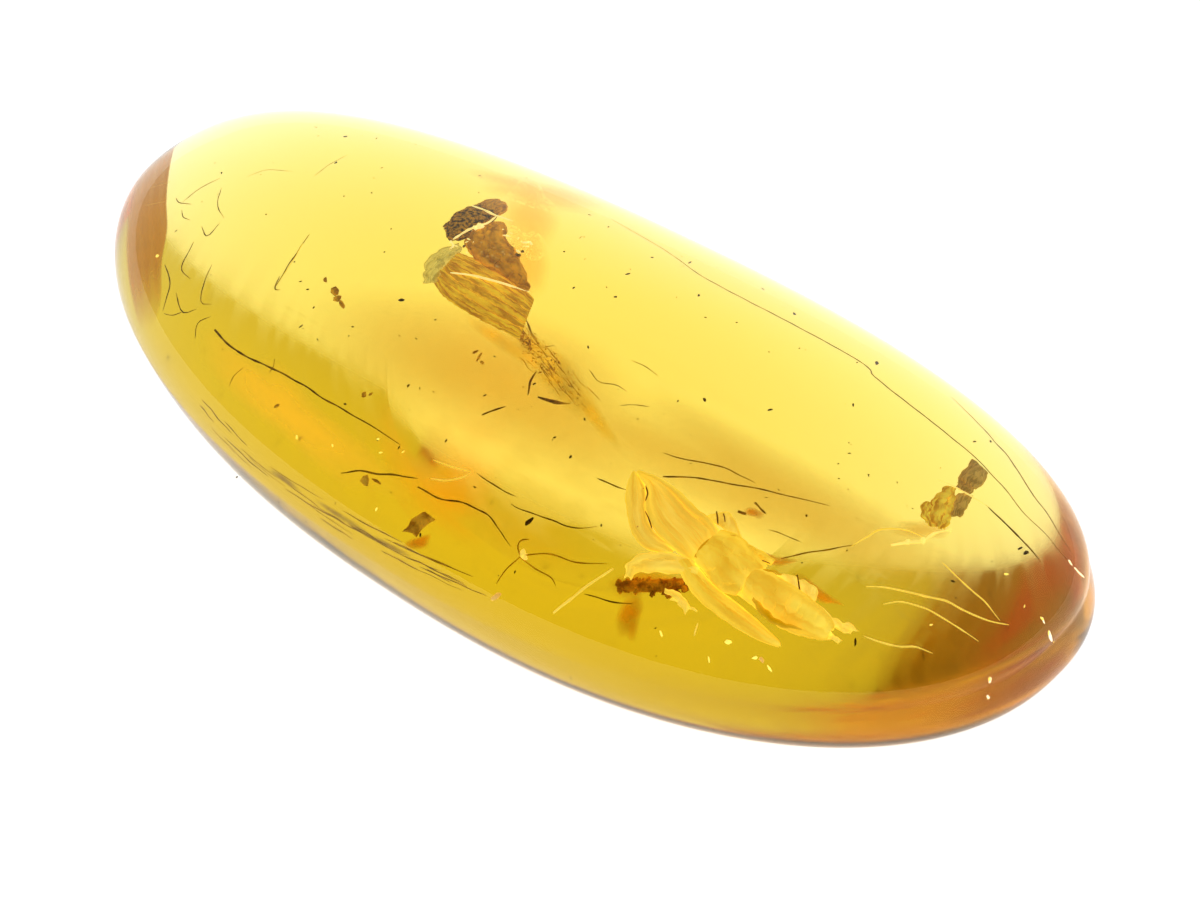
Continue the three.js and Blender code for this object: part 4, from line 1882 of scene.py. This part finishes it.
class EdgeShadeAndLines:
    """Painted shade at the narrow end: a brown crescent sheet in the resin, with hairs across it, and streaks
    and flow lines under the near edge.
    """

    OUTER = ((-15.1, -0.4, 3.7), (-14.2, -1.5, 3.9), (-13.3, -2.5, 3.9), (-12.4, -3.3, 3.8),
             (-11.4, -4.0, 3.6),
             (-10.8, -4.4, 3.5), (-10.3, -4.6, 3.4))
    INNER = ((-15.2, 1.4, 3.3), (-13.9, -0.1, 4.0), (-12.8, -1.2, 4.2), (-11.8, -2.1, 4.3),
             (-11.0, -3.0, 4.1),
             (-10.1, -3.8, 3.8), (-9.8, -4.3, 3.4))
    HAIRS = (
        Hair(((-13.4, -1.85), (-12.75, -1.5)), (4.7, 4.9), 0.022),
        Hair(((-13.9, -1.2), (-13.35, -0.75)), (4.6, 4.8), 0.018),
    )
    NEAR_EDGE = ((-6.5, -6.2), (-3.0, -7.0), (1.0, -7.1), (5.5, -6.6))
    LINE_LEVEL = 3.5  # mm above the seat
    STREAKS = (
        Patch((-0.2, -7.0), (1.2, 0.13), 0.0, 3.5),
        Patch((1.5, -7.0), (0.9, 0.12), 2.0, 3.5),
        Patch((-2.4, -6.95), (0.8, 0.12), -5.0, 3.5),
    )

    def __init__(self) -> None:
        """Sets the finishes."""
        # Painted shade: the brown of the crescent sheet, where the rim shows a dark crescent.
        self.brown = StainFinish("painted_edge_shade", (0.50, 0.215, 0.0), 1.0, 0.7, 0.08)
        self.grey = StainFinish("edge_streak", (0.40, 0.24, 0.08), 0.6, 0.3)
        self.hair = PaperFinish("edge_hair", pale=(0.95, 0.55, 0.08), middle_shade=0.0, glow=0.3, lines=2.0)
        self.line = BarkFinish(
            "edge_line", (0.62, 0.34, 0.04), (0.36, 0.17, 0.01), 2500.0, glow=0.1, solid=0.7
        )

    def lines(self) -> Skin:
        """Fine flow lines in the resin that follow the near edge.

        Each line follows a random stretch of the edge's route, moved sideways by a random amount.

        Returns:
            The skin of all the lines.
        """
        rng = np.random.default_rng(145)
        edge = even_steps(on_plan(self.NEAR_EDGE, self.LINE_LEVEL, self.LINE_LEVEL), 120)
        made = []
        for _ in range(26):
            start = int(rng.uniform(0, 96))
            stretch = edge[start : start + int(rng.uniform(9, 30)) : 4]
            aside = float(rng.normal() * 0.11)
            slope = float(rng.normal() * 0.02)
            route = [
                (float(x), float(y) + aside + slope * step) for step, (x, y) in enumerate(stretch[:, :2])
            ]
            height = self.LINE_LEVEL + 0.8 * aside
            made.append(Hair(route, (height, height), float(rng.uniform(0.008, 0.02)), 0.3, 0.2, 0.02))
        return hairs(made, 146)

    def sheet(self) -> Skin:
        """The crescent-shaped sheet of painted shade between its outer and inner edges.

        Its tone has a crisp inner edge, a softer outer one and faint bands along it, and fades at its
        near end.

        Returns:
            The sheet's closed skin.
        """
        rows, columns = 90, 30
        outer = even_steps(np.array(self.OUTER), rows)[:, None]
        inner = even_steps(np.array(self.INNER), rows)[:, None]
        u = np.broadcast_to(np.linspace(0, 1, columns)[None, :, None], (rows, columns, 1))
        v = np.broadcast_to(np.linspace(0, 1, rows)[:, None, None], (rows, columns, 1))
        surface = outer * (1 - u) + inner * u
        bands = 1 + 0.12 * np.sin(26 * u + 1.5 * np.sin(5 * v))
        edge = np.clip(u / 0.12, 0, 1) * np.clip((1 - u) / 0.04, 0, 1)
        fade = np.clip((1 - v) / 0.3, 0, 1) * np.clip(v / 0.04, 0, 1)
        tone = np.clip(0.92 * edge * fade * bands, 0, 1)[..., 0]
        return shell(surface, np.full((rows, columns), 0.01), u[..., 0], v[..., 0], tone)

    def build(self, effects: SharedEffects) -> None:
        """Makes the sheet of painted shade, the hairs across it, the streaks and the flow lines.

        Args:
            effects: the shared node groups.
        """
        make_piece("painted_edge_shade", self.sheet(), self.brown.make(effects))
        make_piece("edge_hairs", hairs(self.HAIRS, 141), self.hair.make(effects))
        streaks = join([patch.skin(150 + number) for number, patch in enumerate(self.STREAKS)])
        make_piece("edge_streaks", streaks, self.grey.make(effects))
        make_piece("edge_lines", self.lines(), self.line.make(effects))


# ---------------------------------------------------------------------------------------------
# Studio
# ---------------------------------------------------------------------------------------------


@dataclass
class Studio:
    """The glowing pale table, the soft sky of light and the camera.

    Attributes:
        azimuth: of the camera about the stone, degrees; 0 looks along +Y.
        elevation: of the camera above the table, degrees.
        distance: from the camera to its target, mm.
        target: x and y of the point that the camera looks at, mm.
        lens: focal length on a 36 mm sensor, mm.
        table_glow: the table's own light.
        table_gap: how far the table lies below the stone, mm.
        sky: the light from all round.
        sky_far: how much more comes from behind the stone.
        sky_right: how much more comes from its right.
        sky_top: how much more comes from straight above.
    """

    azimuth: float = 40.73
    elevation: float = 40.64
    distance: float = 81.34
    target: tuple[float, float] = (-0.03, 2.64)
    lens: float = 85.0
    table_glow: float = 0.98
    table_gap: float = 0.05
    sky: float = 0.6
    sky_far: float = 0.51
    sky_right: float = 0.24
    sky_top: float = -0.35

    def back(self) -> Vector:
        """The direction from the target to the camera."""
        turn, lift = math.radians(self.azimuth), math.radians(self.elevation)
        return Vector((math.sin(turn) * math.cos(lift), -math.cos(turn) * math.cos(lift), math.sin(lift)))

    def build_camera(self) -> None:
        """Makes the camera and gives it to the scene."""
        data = bpy.data.cameras.new("camera")
        data.lens, data.sensor_width = self.lens, 36.0
        data.clip_start, data.clip_end = 0.001, 10.0
        camera = bpy.data.objects.new("camera", data)
        bpy.context.scene.collection.objects.link(camera)
        target = Vector((self.target[0] * MM, self.target[1] * MM, 0.0))
        camera.location = target + self.back() * (self.distance * MM)
        camera.rotation_euler = self.back().to_track_quat("Z", "Y").to_euler()
        bpy.context.scene.camera = camera

    def build_table(self) -> None:
        """Makes the pale table, which glows softly like a light table."""
        reach = 1.5
        corners = [(-reach, -reach), (reach, -reach), (reach, reach), (-reach, reach)]
        mesh = bpy.data.meshes.new("table")
        mesh.from_pydata([(x, y, -self.table_gap * MM) for x, y in corners], [], [(0, 1, 2, 3)])
        material, _, shader = new_material("table_pale")
        shader.inputs["Base Color"].default_value = (0.8, 0.8, 0.8, 1.0)
        shader.inputs["Roughness"].default_value = 1.0
        shader.inputs["Specular IOR Level"].default_value = 0.0
        shader.inputs["Emission Color"].default_value = (1.0, 1.0, 1.0, 1.0)
        shader.inputs["Emission Strength"].default_value = self.table_glow
        mesh.materials.append(material)
        table = bpy.data.objects.new("table", mesh)
        bpy.context.scene.collection.objects.link(table)

    def build_sky(self) -> None:
        """Makes the soft light all round: its strength is sky + far share + right share of the direction."""
        world = bpy.data.worlds.new("studio_sky")
        world.use_nodes = True
        world.cycles.sampling_method = "NONE"
        bpy.context.scene.world = world
        bench = NodeBench(world.node_tree)
        turn = math.radians(self.azimuth)
        far = Vector((-math.sin(turn), math.cos(turn), 0.0))
        right = Vector((math.cos(turn), math.sin(turn), 0.0))
        slope = far * self.sky_far + right * self.sky_right + Vector((0.0, 0.0, self.sky_top))
        direction = bench.add("ShaderNodeTexCoord").outputs["Generated"]
        lean = bench.add("ShaderNodeVectorMath", {0: direction, 1: slope}, operation="DOT_PRODUCT")
        strength = bench.maths("ADD", lean.outputs["Value"], self.sky)
        background = world.node_tree.nodes["Background"]
        background.inputs["Color"].default_value = (1.0, 1.0, 1.0, 1.0)
        bench.feed(background.inputs["Strength"], bench.maths("MAXIMUM", strength, 0.05))

    def build(self) -> None:
        """Makes the camera, the table and the light."""
        self.build_camera()
        self.build_table()
        self.build_sky()
        bpy.context.scene.view_settings.view_transform = "Standard"


def main() -> None:
    """Builds the stone and everything in it, in order, and notes the sizes."""
    logging.basicConfig(level=logging.INFO, format="%(name)s: %(message)s")
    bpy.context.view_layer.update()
    effects = SharedEffects()
    Studio().build()
    stone = AmberStone()
    stone.build(AmberFinish(), effects)
    Insect().build(effects)
    BudScale().build(effects)
    DustTrail().build(effects)
    BarkScrap().build(effects)
    PlantHairs().build(effects)
    Specks().build(effects, stone)
    EdgeShadeAndLines().build(effects)


if __name__ == "__main__":
    main()
